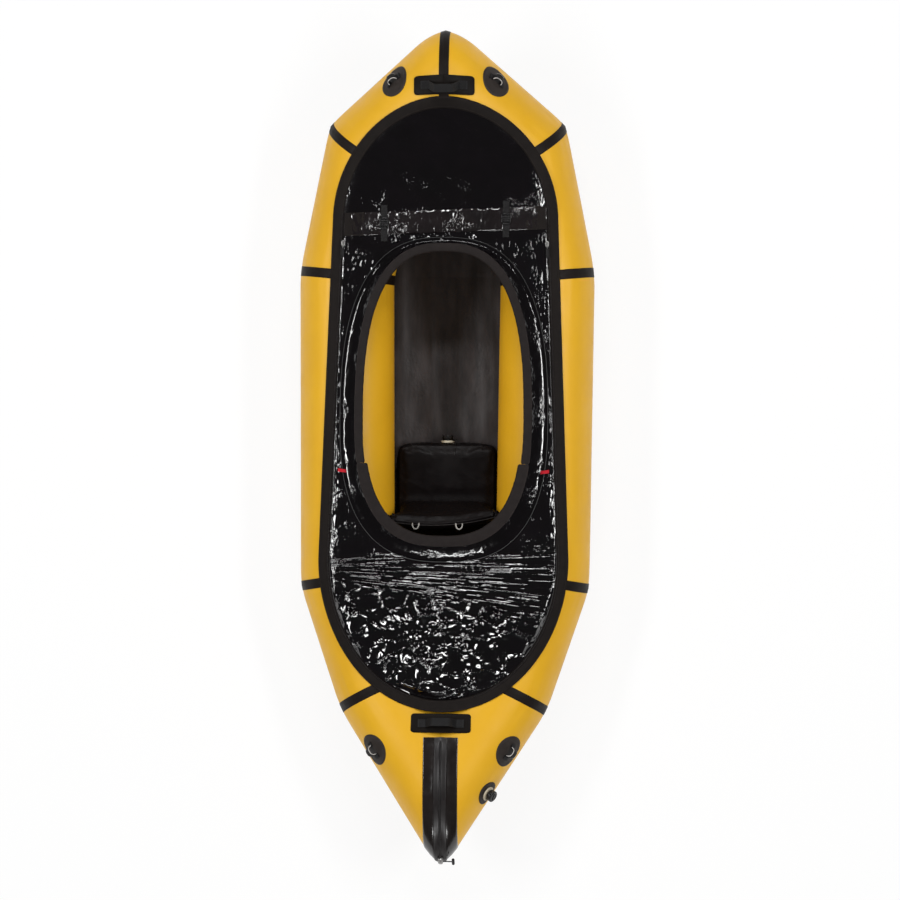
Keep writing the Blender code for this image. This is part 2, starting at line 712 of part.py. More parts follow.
def build_floor():
    """The floor: flat between the tubes' lowest lines, with a lap up the outer underside of each tube."""
    laps = int(round(math.radians(FLOOR_LAP_DEGREES) / (math.tau / TUBE_SIDES)))
    angles = -math.pi / 2 + np.arange(laps, -1, -1) * math.tau / TUBE_SIDES

    def rows(layer):
        starboard = []
        for panel in range(len(RUN)):
            stations = panel_stations(panel)
            if panel == 0:
                stations = stations[1:]
            if panel == len(RUN) - 1:
                stations = stations[:-1]
            starboard += [hull_ring(panel, seam, away, layer, angles) for seam, away in stations]
        starboard = np.array(starboard)
        return np.concatenate([starboard, mirrored(starboard)[:, ::-1]], axis=1)

    upper, lower = rows(FLOOR_TOP), rows(FLOOR_UNDER)
    turned = np.zeros((upper.shape[0] - 1, upper.shape[1] - 1), bool)
    turned[:, : laps + 1] = True
    points, faces = slab(upper, lower, turned=turned)
    add_piece("floor", points, faces, FLOOR_BLACK)


def build_base_strip():
    """The strip that the deck zips to: a ring of fabric along the deck's outline."""
    bearings = ring_bearings(STRIP_STEPS)
    shares = np.linspace(0.0, 1.0, 3)
    lines = [by_bearing(deck_outline(share * BASE_STRIP_WIDTH), bearings) for share in shares]
    plan = np.stack(lines, 1)
    x, y = plan[..., 0], plan[..., 1]
    outer = np.stack([x, y, bridged(x, y, BASE_TOP)], -1)
    inner = np.stack([x, y, bridged(x, y, BASE_FOOT)], -1)
    points, faces = slab(outer, inner, wrap_rows=True)
    add_piece("base_strip", points, faces, STRIP_BLACK)


def add_sheet(name, plan, height, lift, thickness, finish, wrap_rows=False):
    """A sheet of fabric over plan points, at a lift above the given heights."""
    top = np.concatenate([plan, (height + lift + thickness)[..., None]], -1)
    under = np.concatenate([plan, (height + lift)[..., None]], -1)
    points, faces = slab(top, under, wrap_rows=wrap_rows)
    return add_piece(name, points, faces, finish)


def build_fore_deck():
    """The taut fore deck: a fan from the middle of its straight after edge to the bow."""
    bow = deck_outline(HEM_INSET)[:OUTLINE_STEPS]
    rim = bow[bow[:, 1] > band_line(bow[:, 0], 1.0) + LAYER_GAP]
    rim = rim[np.linspace(0, len(rim) - 1, FAN_STEPS).round().astype(int)]
    hub = np.array([[0.0, float(band_line(0.0, 1.0))]]) + np.array([0.0, BAND_BUTT])
    for end in (0, -1):
        rim[end, 1] = band_line(rim[end, 0], 1.0) + BAND_BUTT
    inner = np.repeat(hub, len(rim), axis=0)
    end = bridged(rim[:, 0], rim[:, 1], 0.0)
    plan, height = pulled_taut(inner, rim, taut_height(inner[:, 1]), end, FAN_SAMPLES)
    add_sheet("fore_deck", plan, height, DECK_LIFT, DECK_THICKNESS, DECK_BLACK)


def build_deck_band():
    """The band that closes the deck ahead of the cockpit, from hem to hem."""
    across = np.array(BAND_ACROSS_SHARES)
    across = np.concatenate([-across[:0:-1], across])
    rows = []
    for forward in (0.0, 0.5, 1.0):
        middle = band_line(0.0, forward)
        x = across * outline_half(middle, HEM_INSET)
        rows.append(np.column_stack([x, band_line(x, forward)]))
    plan = np.array(rows)
    height = sheet_height(plan[..., 0], plan[..., 1])
    add_sheet("deck_band", plan, height, DECK_LIFT + BAND_LIFT, BAND_THICKNESS, STRIP_BLACK)


def collar_lines(bearings):
    """Plan lines of the collar: its hem's outer edge and its foot, both lying on the deck."""
    foot = COAMING_WIDTH + COLLAR_SPREAD
    front = COAMING_WIDTH + COLLAR_FRONT_SPREAD
    hem = by_bearing(cockpit_curve(foot + COLLAR_HEM, front + COLLAR_HEM), bearings)
    return hem, by_bearing(cockpit_curve(foot, front), bearings)


def deck_bearings():
    """Bearings of the main deck's rays, one of them at each end of the band."""
    bearings = ring_bearings(DECK_STEPS)
    for side in (-1.0, 1.0):
        x = side * float(outline_half(band_line(0.0, 0.0), HEM_INSET))
        corner = math.atan2(float(band_line(x, 0.0)) - BAND_BUTT - HUB_Y, x)
        bearings[np.argmin(np.abs(bearings - corner))] = corner
    return bearings


def deck_folds(plan):
    """Rise of the slack film's folds behind the cockpit: ridges along the rows, of uneven height round them."""
    along = np.clip((DECK_FOLD_START - plan[..., 1]) / DECK_FOLD_FADE, 0.0, 1.0)
    bearing = np.arctan2(plan[..., 1] - HUB_Y, plan[..., 0])
    uneven = (2 + np.sin(DECK_FOLD_WAVES * bearing + np.arange(plan.shape[1]))) / 3
    return DECK_FOLD_HEIGHT * np.array(DECK_FOLD_SHARES) * along * uneven


def build_main_deck():
    """The deck round the cockpit, stretched from the collar's foot over the tubes to its hem."""
    bearings = deck_bearings()
    hem, foot = collar_lines(bearings)
    outline = deck_outline(HEM_INSET)
    outline = outline[outline[:, 1] < band_line(outline[:, 0], 0.0) - BAND_BUTT]
    half = float(outline_half(band_line(0.0, 0.0), HEM_INSET))
    x = np.linspace(-half, half, OUTLINE_STEPS)
    front = np.column_stack([x, band_line(x, 0.0) - BAND_BUTT])
    rim = by_bearing(np.vstack([outline, front]), bearings)
    start = sheet_height(hem[:, 0], hem[:, 1])
    on_band = rim[:, 1] > band_line(rim[:, 0], 0.0) - 2 * BAND_BUTT
    end = np.where(on_band, sheet_height(rim[:, 0], rim[:, 1]), bridged(rim[:, 0], rim[:, 1], 0.0))
    plan, height = pulled_taut(hem, rim, start, end, DECK_SAMPLES)
    inner = sheet_height(foot[:, 0], foot[:, 1])
    plan = np.concatenate([foot[:, None], plan], 1)
    height = np.concatenate([inner[:, None], height], 1)
    height = height + deck_folds(plan)
    add_sheet("main_deck", plan, height, DECK_LIFT, DECK_THICKNESS, DECK_BLACK, wrap_rows=True)


def build_collar():
    """The collar: a hem on the deck and a wall that rises to the underside of the coaming."""
    bearings = deck_bearings()
    hem, foot = collar_lines(bearings)
    rise = by_bearing(cockpit_curve(COAMING_WIDTH + COLLAR_WALL_SHARE * COLLAR_SPREAD,
                                    COAMING_WIDTH + COLLAR_WALL_SHARE * COLLAR_FRONT_SPREAD), bearings)
    top = by_bearing(cockpit_curve(COAMING_WIDTH / 2), bearings)
    on_deck = DECK_LIFT + DECK_THICKNESS + LAYER_GAP
    low = sheet_height(foot[:, 0], foot[:, 1]) + on_deck
    flat = sheet_height(hem[:, 0], hem[:, 1]) + on_deck
    high = np.full(len(low), COAMING_FOOT - LAYER_GAP)
    half_way = low + COLLAR_RISE_SHARE * (high - low)

    def column(plan, z):
        return np.column_stack([plan, z])

    def drawn(plan):
        away = unit(plan - np.array([0.0, HUB_Y]))
        return plan - away * COLLAR_THICKNESS

    outer = [column(hem, flat + COLLAR_THICKNESS), column(foot, low + COLLAR_THICKNESS),
             column(rise, half_way), column(top, high)]
    inner = [column(hem, flat), column(foot, low), column(drawn(rise), half_way), column(drawn(top), high)]
    inner[1][:, :2] = drawn(foot)
    points, faces = slab(np.stack(outer, 1), np.stack(inner, 1), wrap_rows=True)
    add_piece("collar", points, faces, DECK_BLACK)


def build_coaming():
    """The padded rim of the cockpit: a front hoop, and a wider sleeve over its after part."""
    split = COAMING_SPLIT_Y - HUB_Y
    start = math.atan2(split, COCKPIT_HALF_WIDTH)
    gap = LAYER_GAP / COCKPIT_HALF_WIDTH
    parts = (
        ("coaming_front", start + gap, math.pi - start - gap, 0.0, COAMING_HEIGHT, FRONT_STATIONS),
        ("coaming_rear", math.pi - start + gap, math.tau + start - gap,
         COAMING_WIDTH - COAMING_SLEEVE_WIDTH, COAMING_HEIGHT, REAR_STATIONS),
    )
    across = np.array(PAD_ACROSS_SHARES)
    up = np.array(PAD_UP_SHARES)
    for name, first, last, grow, height, stations in parts:
        bearings = np.linspace(first, last, stations)
        inside = by_bearing(cockpit_curve(grow), bearings)
        outside = by_bearing(cockpit_curve(COAMING_WIDTH), bearings)
        plan = inside[:, None] + across[:, None] * (outside - inside)[:, None]
        z = np.broadcast_to(COAMING_FOOT + up * height, plan.shape[:2])
        points, faces = loft(np.concatenate([plan, z[..., None]], -1))
        add_piece(name, points, faces, COAMING_GREY)


def swept(path, side, section, closed=False):
    """A section of (side, normal) pairs carried along a flat path; side is square to the path's plane."""
    path, side = np.asarray(path, float), np.asarray(side, float)
    if closed:
        tangent = unit(np.roll(path, -1, axis=0) - np.roll(path, 1, axis=0))
    else:
        tangent = unit(np.gradient(path, axis=0))
    normal = np.cross(tangent, side)
    pairs = np.asarray(section)
    rings = path[:, None] + pairs[:, :1] * side + pairs[:, 1:] * normal[:, None]
    return loft(rings, closed)


def flat_section(width, thickness):
    """Corners of a webbing section."""
    w, t = width / 2, thickness / 2
    return [(-w, -t), (w, -t), (w, t), (-w, t)]


def round_section(radius, sides=8):
    """Points of a round cord section."""
    turn = np.arange(sides) * math.tau / sides
    return np.column_stack([radius * np.cos(turn), radius * np.sin(turn)])


def on_tube(panel, seam, along, lean_degrees, t, s, layer):
    """Points near a place on a panel: t along the tube from it, s round it outboard, out by a layer."""
    sign = 1.0 if seam == panel else -1.0
    angle = math.pi / 2 - math.radians(lean_degrees) - np.asarray(s) / TUBE_RADIUS
    run = AXIS[seam] + (sign * along + np.asarray(t))[..., None] * RUN[panel]
    spoke = np.cos(angle)[..., None] * OUTBOARD[panel] + np.sin(angle)[..., None] * UPWARD[panel]
    return run + (TUBE_RADIUS + np.asarray(layer))[..., None] * spoke


def frame_on_tube(panel, seam, along, lean_degrees, layer):
    """Place, outward normal and round-the-tube direction at a place on a panel."""
    zero = np.zeros(1)
    place = on_tube(panel, seam, along, lean_degrees, zero, zero, zero + layer)[0]
    normal = unit(on_tube(panel, seam, along, lean_degrees, zero, zero, zero + TUBE_RADIUS)[0]
                  - on_tube(panel, seam, along, lean_degrees, zero, zero, zero)[0])
    return place, normal, np.cross(RUN[panel], normal)


def round_patch(name, panel, seam, along, lean_degrees, radius, thickness, turn):
    """A round patch of fabric that hugs the tube."""
    angle = np.arange(PATCH_SIDES) * math.tau / PATCH_SIDES
    shares = np.array(PATCH_RING_SHARES)
    t = radius * shares * np.cos(angle)[:, None]
    s = radius * shares * np.sin(angle)[:, None]
    flat = np.ones_like(t)
    outer = on_tube(panel, seam, along, lean_degrees, t, s, flat * (PATCH_FOOT + thickness))
    inner = on_tube(panel, seam, along, lean_degrees, t, s, flat * PATCH_FOOT)
    scale = np.array([turn, 1.0, 1.0])
    points, faces = slab(outer * scale, inner * scale, wrap_rows=True)
    add_piece(name, points, faces, PATCH_GREY)


def build_grab_loops():
    """Four round patches, each with a webbing loop that stands up from it."""
    places = (("bow", 0, 0, GRAB_BOW_ALONG), ("stern", LAST - 1, LAST, GRAB_STERN_ALONG))
    for end, panel, seam, along in places:
        foot = PATCH_FOOT + GRAB_PATCH_THICKNESS + LOOP_LIFT
        place, normal, around = frame_on_tube(panel, seam, along, GRAB_LEAN_DEGREES, foot)
        run = RUN[panel]
        low = LOOP_THICKNESS / 2
        arch = np.linspace(0.0, math.pi, LOOP_STATIONS)
        t = np.concatenate([[-LOOP_SPAN / 2 - LOOP_FOOT], -LOOP_SPAN / 2 * np.cos(arch), [LOOP_SPAN / 2 + LOOP_FOOT]])
        up = np.concatenate([[low], low + (LOOP_HEIGHT - LOOP_THICKNESS) * np.sin(arch), [low]])
        path = place + t[:, None] * run + up[:, None] * normal
        points, faces = swept(path, around, flat_section(LOOP_WEBBING, LOOP_THICKNESS))
        for side, turn in (("starboard", 1), ("port", -1)):
            round_patch(f"grab_patch_{end}_{side}", panel, seam, along, GRAB_LEAN_DEGREES,
                        GRAB_PATCH_RADIUS, GRAB_PATCH_THICKNESS, turn)
            add_piece(f"grab_loop_{end}_{side}", points * np.array([turn, 1.0, 1.0]), faces, WEBBING_BLACK)


def build_handles():
    """Bow and stern carrying handles: a patch across the middle seam, and webbing that stands over it."""
    bow_edge = DECK_BOW_END + HANDLE_BOW_GAP
    stern_edge = DECK_STERN_END - HANDLE_STERN_GAP
    ends = (("bow", bow_edge, 1.0, HANDLE_BOW_PATCH_LIFT),
            ("stern", stern_edge, -1.0, HANDLE_STERN_PATCH_LIFT))
    for name, start, sign, lift in ends:
        x = np.linspace(-HANDLE_PATCH_WIDTH / 2, HANDLE_PATCH_WIDTH / 2, PATCH_COLUMNS)
        y = start + sign * np.linspace(0.0, HANDLE_PATCH_LENGTH, PATCH_ROWS)
        x, y = np.meshgrid(x, y)
        edge, lean = over_hull(np.abs(x[:, :1]), y[:, :1])
        edge = edge + lift / lean[..., 2]
        rest, lean = over_hull(x, y)
        height = np.maximum(edge, rest + lift / lean[..., 2])
        outer = np.stack([x, y, height + HANDLE_PATCH_THICKNESS], -1)
        inner = np.stack([x, y, height], -1)
        points, faces = slab(outer, inner)
        add_piece(f"handle_patch_{name}", points, faces, PATCH_GREY)

        middle = start + sign * HANDLE_PATCH_LENGTH / 2
        half = HANDLE_SPAN / 2
        reach = np.array([-half, -half + HANDLE_FOOT])
        rise = np.array(HANDLE_RISE_SHARES)
        shoulder = -half + HANDLE_FOOT + HANDLE_SHOULDER * np.array(HANDLE_SHOULDER_SHARES)
        left = np.concatenate([reach, shoulder])
        t = np.concatenate([left, -left[::-1]])
        ends_at = [float(np.interp(half - HANDLE_FOOT, x[0], height[row])) for row in (0, -1)]
        slope = float((ends_at[1] - ends_at[0]) / (y[-1, 0] - y[0, 0]))
        across = unit(np.array([0.0, 1.0, slope]))
        above = height - ends_at[0] - slope * (y - y[0, 0])
        crown = above.max(axis=0) + sum(ends_at) / 2
        rest = np.interp(np.maximum(np.abs(t), half - HANDLE_FOOT), x[0], crown)
        up = np.concatenate([np.zeros(2), rise * (HANDLE_STAND + float(crown.max() - rest.max()))])
        up = np.concatenate([up, up[::-1]])
        foot = rest + HANDLE_PATCH_THICKNESS + (LAYER_GAP + HANDLE_THICKNESS / 2) * math.hypot(1.0, slope)
        path = np.column_stack([t, middle - up * slope, foot + up])
        points, faces = swept(path, across, flat_section(HANDLE_WEBBING, HANDLE_THICKNESS))
        add_piece(f"handle_{name}", points, faces, WEBBING_BLACK)


def stern_lines(layer, aways):
    """Stern rings at signed distances from the middle plane, port side negative, as rows of a grid."""
    rows = []
    for away in aways:
        row = hull_ring(LAST - 1, LAST, abs(away), layer, ZIP_ANGLES)
        rows.append(mirrored(row) if away < 0 else row)
    return np.array([ended(row, ZIP_FORWARD_END) for row in rows])


def ended(row, y):
    """A row of points that runs forward, with all points past a place along the hull brought back to it."""
    past = int(np.searchsorted(row[:, 1], y))
    if past < len(row):
        share = (y - row[past - 1, 1]) / (row[past, 1] - row[past - 1, 1])
        row = row.copy()
        row[past:] = row[past - 1] + share * (row[past] - row[past - 1]) + np.array([0.0, 0.0, ZIP_END_LIFT])
    return row


def build_cargo_zip():
    """The cargo zip over the stern: its band, chain, slider and pull."""
    aways = np.array([-ZIP_BAND_HALF_WIDTH, -ZIP_CHAIN_HALF_WIDTH, 0.0,
                      ZIP_CHAIN_HALF_WIDTH, ZIP_BAND_HALF_WIDTH])
    outer = stern_lines(LAYER_GAP + ZIP_BAND_THICKNESS, aways)
    inner = stern_lines(LAYER_GAP, aways)
    turned = np.zeros((len(aways) - 1, len(ZIP_ANGLES) - 1), bool)
    turned[len(aways) // 2 :] = True
    points, faces = slab(outer, inner, turned=turned)
    add_piece("cargo_zip_band", points, faces, STRIP_BLACK)

    foot = ZIP_CHAIN_LIFT + ZIP_BAND_THICKNESS
    top = foot + ZIP_TAPE_THICKNESS
    bead = top + ZIP_BEAD_HEIGHT
    edge = stern_lines(top, np.array([0.0, ZIP_CHAIN_HALF_WIDTH]))
    ridge = stern_lines(bead, np.array([0.0, ZIP_CHAIN_HALF_WIDTH]))
    under = stern_lines(foot, np.array([0.0, ZIP_CHAIN_HALF_WIDTH]))
    half = ZIP_BEAD_WIDTH / 2
    shoulder = half - ZIP_BEAD_HEIGHT / 4
    shares = np.array([-ZIP_CHAIN_HALF_WIDTH, -half, -shoulder, 0.0, shoulder, half, ZIP_CHAIN_HALF_WIDTH])
    shares = shares / ZIP_CHAIN_HALF_WIDTH

    def across(pair, share):
        row = pair[0] + abs(share) * (pair[1] - pair[0])
        return mirrored(row) if share < 0 else row

    outer = np.array([across(ridge if 1 < i < 5 else edge, share) for i, share in enumerate(shares)])
    inner = np.array([across(under, share) for share in shares])
    turned = np.zeros((len(shares) - 1, len(ZIP_ANGLES) - 1), bool)
    turned[len(shares) // 2 :] = True
    points, faces = slab(outer, inner, turned=turned)
    add_piece("cargo_zip_chain", points, faces, ZIP_GREY)
    build_cargo_slider(top, bead)


def zip_place(angle, radius):
    """Point in the middle plane on a circle round the zip's centre, at an angle aft of straight up."""
    angle = np.asarray(angle)
    y = ZIP_CENTRE[0] - radius * np.sin(angle)
    z = ZIP_CENTRE[1] + radius * np.cos(angle)
    return np.stack([np.zeros_like(y), y, z], -1)


def build_cargo_slider(top, bead):
    """The slider that straddles the zip's bead, and its pull, which lies out to starboard."""
    tip = drawn_ring(LAST - 1, LAST, 0.0, np.array([0.0]))[0]
    closed = math.atan2(ZIP_CENTRE[0] - tip[1], tip[2] - ZIP_CENTRE[1]) - math.radians(ZIP_CLOSED_DEGREES)
    half = ZIP_SLIDER_LENGTH / 2 / ZIP_ARC_RADIUS
    outer, inner = ZIP_SLIDER_WIDTH / 2, ZIP_BEAD_WIDTH / 2 + ZIP_SLIDER_GAP
    low = top + ZIP_SLIDER_GAP
    roof = bead + ZIP_SLIDER_GAP
    high = bead + ZIP_SLIDER_HEIGHT
    section = ((-outer, low), (-outer, high), (outer, high), (outer, low),
               (inner, low), (inner, roof), (-inner, roof), (-inner, low))
    rings = []
    for angle in closed + half * np.linspace(-1.0, 1.0, 4):
        out = unit(zip_place(angle, 1.0) - zip_place(angle, 0.0))
        base = zip_place(angle, ZIP_ARC_RADIUS)
        rings.append([base + np.array([x, 0.0, 0.0]) + layer * out for x, layer in section])
    centre = zip_place(closed, 0.0)
    points, faces = loft(np.array(rings))
    slider = add_piece("cargo_zip_slider", points, faces, SLIDER_METAL, pivot=centre)

    out = unit(zip_place(closed, 1.0) - zip_place(closed, 0.0))
    tangent = np.cross(out, np.array([1.0, 0.0, 0.0]))
    pivot = zip_place(closed, ZIP_ARC_RADIUS + high - PULL_CORD_RADIUS)
    start = pivot + np.array([outer + LAYER_GAP, 0.0, 0.0])
    end = start + np.array([PULL_CORD_LENGTH, 0.0, 0.0])
    sides = 8
    turn = (np.arange(sides) + 0.5) * math.tau / sides
    ring = np.cos(turn)[:, None] * tangent + np.sin(turn)[:, None] * out
    cord = [start + PULL_CORD_RADIUS * ring, end + PULL_CORD_RADIUS * ring]
    bar_half = PULL_BAR_LENGTH / 2
    reach = np.where(np.abs(ring @ tangent) > 0, np.sign(ring @ tangent), 1.0)
    wide = reach[:, None] * tangent * bar_half + (ring @ out)[:, None] * out * PULL_BAR_RADIUS
    far = end + np.array([PULL_BAR_RADIUS * 2, 0.0, 0.0])
    rings = np.array(cord + [end + wide, far + wide])
    points, faces = loft(rings)
    add_piece("cargo_zip_pull", points, faces, WEBBING_BLACK, pivot=pivot, parent=slider)


def turned_solid(profile, place, axis, sides, ribs=0.0, ribbed_beyond=math.inf):
    """A closed (radius, height) profile turned round an axis; ribs notch every second edge of its flank."""
    place, axis = np.asarray(place), unit(np.asarray(axis, float))
    side = unit(np.cross(axis, np.array([0.0, 1.0, 0.0]) if abs(axis[1]) < 0.8 else np.array([1.0, 0.0, 0.0])))
    other = np.cross(axis, side)
    profile = np.array(profile)
    rings = []
    for k in range(sides):
        angle = math.tau * k / sides
        radius = profile[:, 0] - np.where(profile[:, 0] > ribbed_beyond, ribs * (k % 2), 0.0)
        spoke = math.cos(angle) * side + math.sin(angle) * other
        rings.append(place + radius[:, None] * spoke + profile[:, 1:] * axis)
    return loft(np.array(rings), closed=True)


def build_main_valve():
    """The main valve by the stern: patch, body with a bored neck, seal and a ribbed screw cap."""
    panel, seam = LAST - 1, LAST
    round_patch("main_valve_patch", panel, seam, VALVE_ALONG, VALVE_LEAN_DEGREES,
                VALVE_PATCH_RADIUS, VALVE_PATCH_THICKNESS, 1)
    foot = PATCH_FOOT + VALVE_PATCH_THICKNESS + LAYER_GAP
    place, axis, _ = frame_on_tube(panel, seam, VALVE_ALONG, VALVE_LEAN_DEGREES, foot)
    flange = VALVE_BODY_HEIGHT / 3
    neck = flange + VALVE_NECK_HEIGHT
    body = [(0.0, 0.0), (VALVE_BODY_RADIUS, 0.0), (VALVE_BODY_RADIUS, flange * 0.7),
            (VALVE_BODY_RADIUS * 0.94, flange), (VALVE_NECK_RADIUS, flange), (VALVE_NECK_RADIUS, neck),
            (VALVE_BORE_RADIUS, neck), (VALVE_BORE_RADIUS, flange * 0.6), (0.0, flange * 0.6)]
    points, faces = turned_solid(body, place, axis, VALVE_SIDES)
    add_piece("main_valve_body", points, faces, PLASTIC_BEIGE, pivot=place)
    inner = VALVE_NECK_RADIUS + VALVE_CLEARANCE
    low = flange + LAYER_GAP
    seal = [(inner, low), (VALVE_SEAL_RADIUS, low), (VALVE_SEAL_RADIUS, low + VALVE_SEAL_HEIGHT),
            (inner, low + VALVE_SEAL_HEIGHT)]
    points, faces = turned_solid(seal, place, axis, VALVE_SIDES)
    ring = add_piece("main_valve_seal", points, faces, SEAL_RUBBER, pivot=place)
    low = low + VALVE_SEAL_HEIGHT + LAYER_GAP
    roof = neck + VALVE_CLEARANCE
    high = max(low + VALVE_CAP_HEIGHT, roof + VALVE_CAP_WALL)
    edge = VALVE_CAP_WALL / 2
    cap = [(inner, low), (VALVE_CAP_RADIUS, low), (VALVE_CAP_RADIUS, high - edge),
           (VALVE_CAP_RADIUS - edge, high), (0.0, high), (0.0, roof), (inner, roof)]
    beyond = VALVE_CAP_RADIUS - edge - SMALLEST
    points, faces = turned_solid(cap, place, axis, 2 * VALVE_CAP_RIBS, VALVE_CAP_RIB_DEPTH, beyond)
    add_piece("main_valve_cap", points, faces, PLASTIC_BLACK, pivot=place, parent=ring)


def seat_top(x, y):
    """Height of the seat's crowned top over plan points."""
    middle = (SEAT_FRONT + SEAT_BACK) / 2
    reach = (SEAT_FRONT - SEAT_BACK) / 2
    u = np.clip(1 - (np.asarray(x) / SEAT_HALF_WIDTH) ** 2, 0.0, 1.0)
    v = np.clip(1 - ((np.asarray(y) - middle) / reach) ** 2, 0.0, 1.0)
    return SEAT_FOOT + SEAT_HEIGHT - SEAT_CROWN + SEAT_CROWN * u * v


def build_seat():
    """The seat: a crowned cushion with rounded corners and drawn-in sides, and its valve in front."""
    turn = np.arange(SEAT_SIDES) * math.tau / SEAT_SIDES
    middle = (SEAT_FRONT + SEAT_BACK) / 2
    reach = (SEAT_FRONT - SEAT_BACK) / 2
    power = 2 / SEAT_ROUND_POWER
    c, s = np.cos(turn), np.sin(turn)
    x = SEAT_HALF_WIDTH * np.sign(c) * np.abs(c) ** power
    y = reach * np.sign(s) * np.abs(s) ** power
    wall = SEAT_HEIGHT - SEAT_CROWN
    foot = np.full(len(x), SEAT_FOOT)
    rings = [np.column_stack([x * share, middle + y * share, foot]) for share in (0.0, 0.5)]
    for up, share in zip(SEAT_WALL_SHARES, SEAT_SIDE_SHARES):
        inset = 1 - SEAT_DRAWN_IN * share / SEAT_HALF_WIDTH
        rings.append(np.column_stack([x * inset, middle + y * inset, np.full(len(x), SEAT_FOOT + up * wall)]))
    for share in SEAT_TOP_SHARES:
        px, py = x * share, middle + y * share
        groove = SEAT_GROOVE_DEPTH * float(share == SEAT_GROOVE_SHARE)
        rings.append(np.column_stack([px, py, seat_top(px, py) - groove]))
    points, faces = loft(np.array(rings))
    seat = add_piece("seat", points, faces, SEAT_BLACK)

    rise = SEAT_FOOT + wall / 2
    stand = SEAT_FRONT + LAYER_GAP
    place = np.array([0.0, stand, rise])
    axis = np.array([0.0, 1.0, 0.0])
    neck = SEAT_VALVE_BASE + SEAT_VALVE_NECK_HEIGHT
    body = [(0.0, 0.0), (SEAT_VALVE_RADIUS, 0.0), (SEAT_VALVE_RADIUS, SEAT_VALVE_BASE),
            (SEAT_VALVE_NECK, SEAT_VALVE_BASE), (SEAT_VALVE_NECK, neck), (SEAT_VALVE_BORE, neck),
            (SEAT_VALVE_BORE, SEAT_VALVE_BASE), (0.0, SEAT_VALVE_BASE)]
    points, faces = turned_solid(body, place, axis, VALVE_SIDES)
    add_piece("seat_valve_body", points, faces, PLASTIC_BEIGE, pivot=place)
    inner = SEAT_VALVE_NECK + VALVE_CLEARANCE
    low = SEAT_VALVE_BASE + LAYER_GAP
    roof = neck + VALVE_CLEARANCE
    high = roof + SEAT_VALVE_CAP_WALL
    cap = [(inner, low), (SEAT_VALVE_CAP_RADIUS, low), (SEAT_VALVE_CAP_RADIUS, high), (0.0, high),
           (0.0, roof), (inner, roof)]
    points, faces = turned_solid(cap, place, axis, VALVE_SIDES)
    add_piece("seat_valve_cap", points, faces, PLASTIC_BLACK, pivot=place)


def backrest_frame():
    """Hinge line, upward and forward directions of the backrest."""
    lean = math.radians(BACKREST_LEAN_DEGREES)
    radius = BACKREST_THICKNESS / 2
    hinge = np.array([0.0, BACKREST_FOOT_Y, float(seat_top(0.0, BACKREST_FOOT_Y)) + BACKREST_FOOT_GAP + radius])
    return hinge, np.array([0.0, -math.sin(lean), math.cos(lean)]), np.array([0.0, math.cos(lean), math.sin(lean)])


def build_backrest():
    """The backrest: a padded band with a round foot, flared at its top over the tubes, and its cord."""
    hinge, up, forward = backrest_frame()
    radius = BACKREST_THICKNESS / 2
    turn = np.arange(BACKREST_SIDES) * math.tau / BACKREST_SIDES
    power = 2 / SEAT_ROUND_POWER
    c, s = np.cos(turn), np.sin(turn)
    across = np.sign(c) * np.abs(c) ** power
    through = np.sign(s) * np.abs(s) ** power
    rings = []
    for share in np.linspace(0.0, 1.0, BACKREST_LEVELS):
        height = -radius + share * (BACKREST_HEIGHT + radius)
        low = math.sqrt(max(0.0, 1 - min(height / radius, 0.0) ** 2))
        over = max(0.0, height - (BACKREST_HEIGHT - radius)) / radius
        thick = radius * min(low, math.sqrt(max(0.0, 1 - over**2)))
        flare = np.clip((share - FLARE_FROM_SHARE) / (1 - FLARE_FROM_SHARE), 0.0, 1.0) ** 2
        width = BACKREST_FOOT_WIDTH + flare * (BACKREST_TOP_WIDTH - BACKREST_FOOT_WIDTH)
        bulge = 1 + BACKREST_CROWN / BACKREST_THICKNESS * math.sin(math.pi * share) * float(height > 0)
        thick = max(thick * bulge, SMALLEST * 100)
        centre = hinge + height * up
        rings.append(centre + (across * width / 2)[:, None] * np.array([1.0, 0.0, 0.0])
                     + (through * thick)[:, None] * forward)
    points, faces = loft(np.array(rings))
    backrest = add_piece("backrest", points, faces, SEAT_BLACK, pivot=hinge)

    base = hinge + (BACKREST_HEIGHT + LAYER_GAP + CORD_RADIUS) * up
    half = np.linspace(0.0, math.pi, CORD_STATIONS)
    path = []
    for side in (-1.0, 1.0):
        x = side * CORD_LOOP_ASIDE - CORD_LOOP_RADIUS * np.cos(half)
        rise = CORD_LOOP_RADIUS * np.sin(half)
        path.append(base + x[:, None] * np.array([1.0, 0.0, 0.0]) + rise[:, None] * up)
    path = np.vstack(path)
    points, faces = swept(path, forward, round_section(CORD_RADIUS, 6))
    add_piece("backrest_cord", points, faces, CORD_GREY, pivot=hinge, parent=backrest)


def barred_plate(across, along, slots, under, top):
    """A flat plate cut by lines across and along it, with the named cells left open, between two heights."""
    x, y = np.meshgrid(np.array(across), np.array(along), indexing="ij")
    rows, cols = x.shape
    faces_of = [np.stack([x, y, side(y)], -1).reshape(-1, 3) for side in (under, top)]
    points = np.concatenate(faces_of)
    solid = {(i, j) for i in range(rows - 1) for j in range(cols - 1)} - set(slots)
    shift = rows * cols
    faces = []
    for i, j in sorted(solid):
        a, b, c, d = i * cols + j, (i + 1) * cols + j, (i + 1) * cols + j + 1, i * cols + j + 1
        faces += [[a, d, c, b], [a + shift, b + shift, c + shift, d + shift]]
        sides = (((i, j - 1), a, b), ((i + 1, j), b, c), ((i, j + 1), c, d), ((i - 1, j), d, a))
        faces += [[p, q, q + shift, p + shift] for cell, p, q in sides if cell not in solid]
    return points, faces


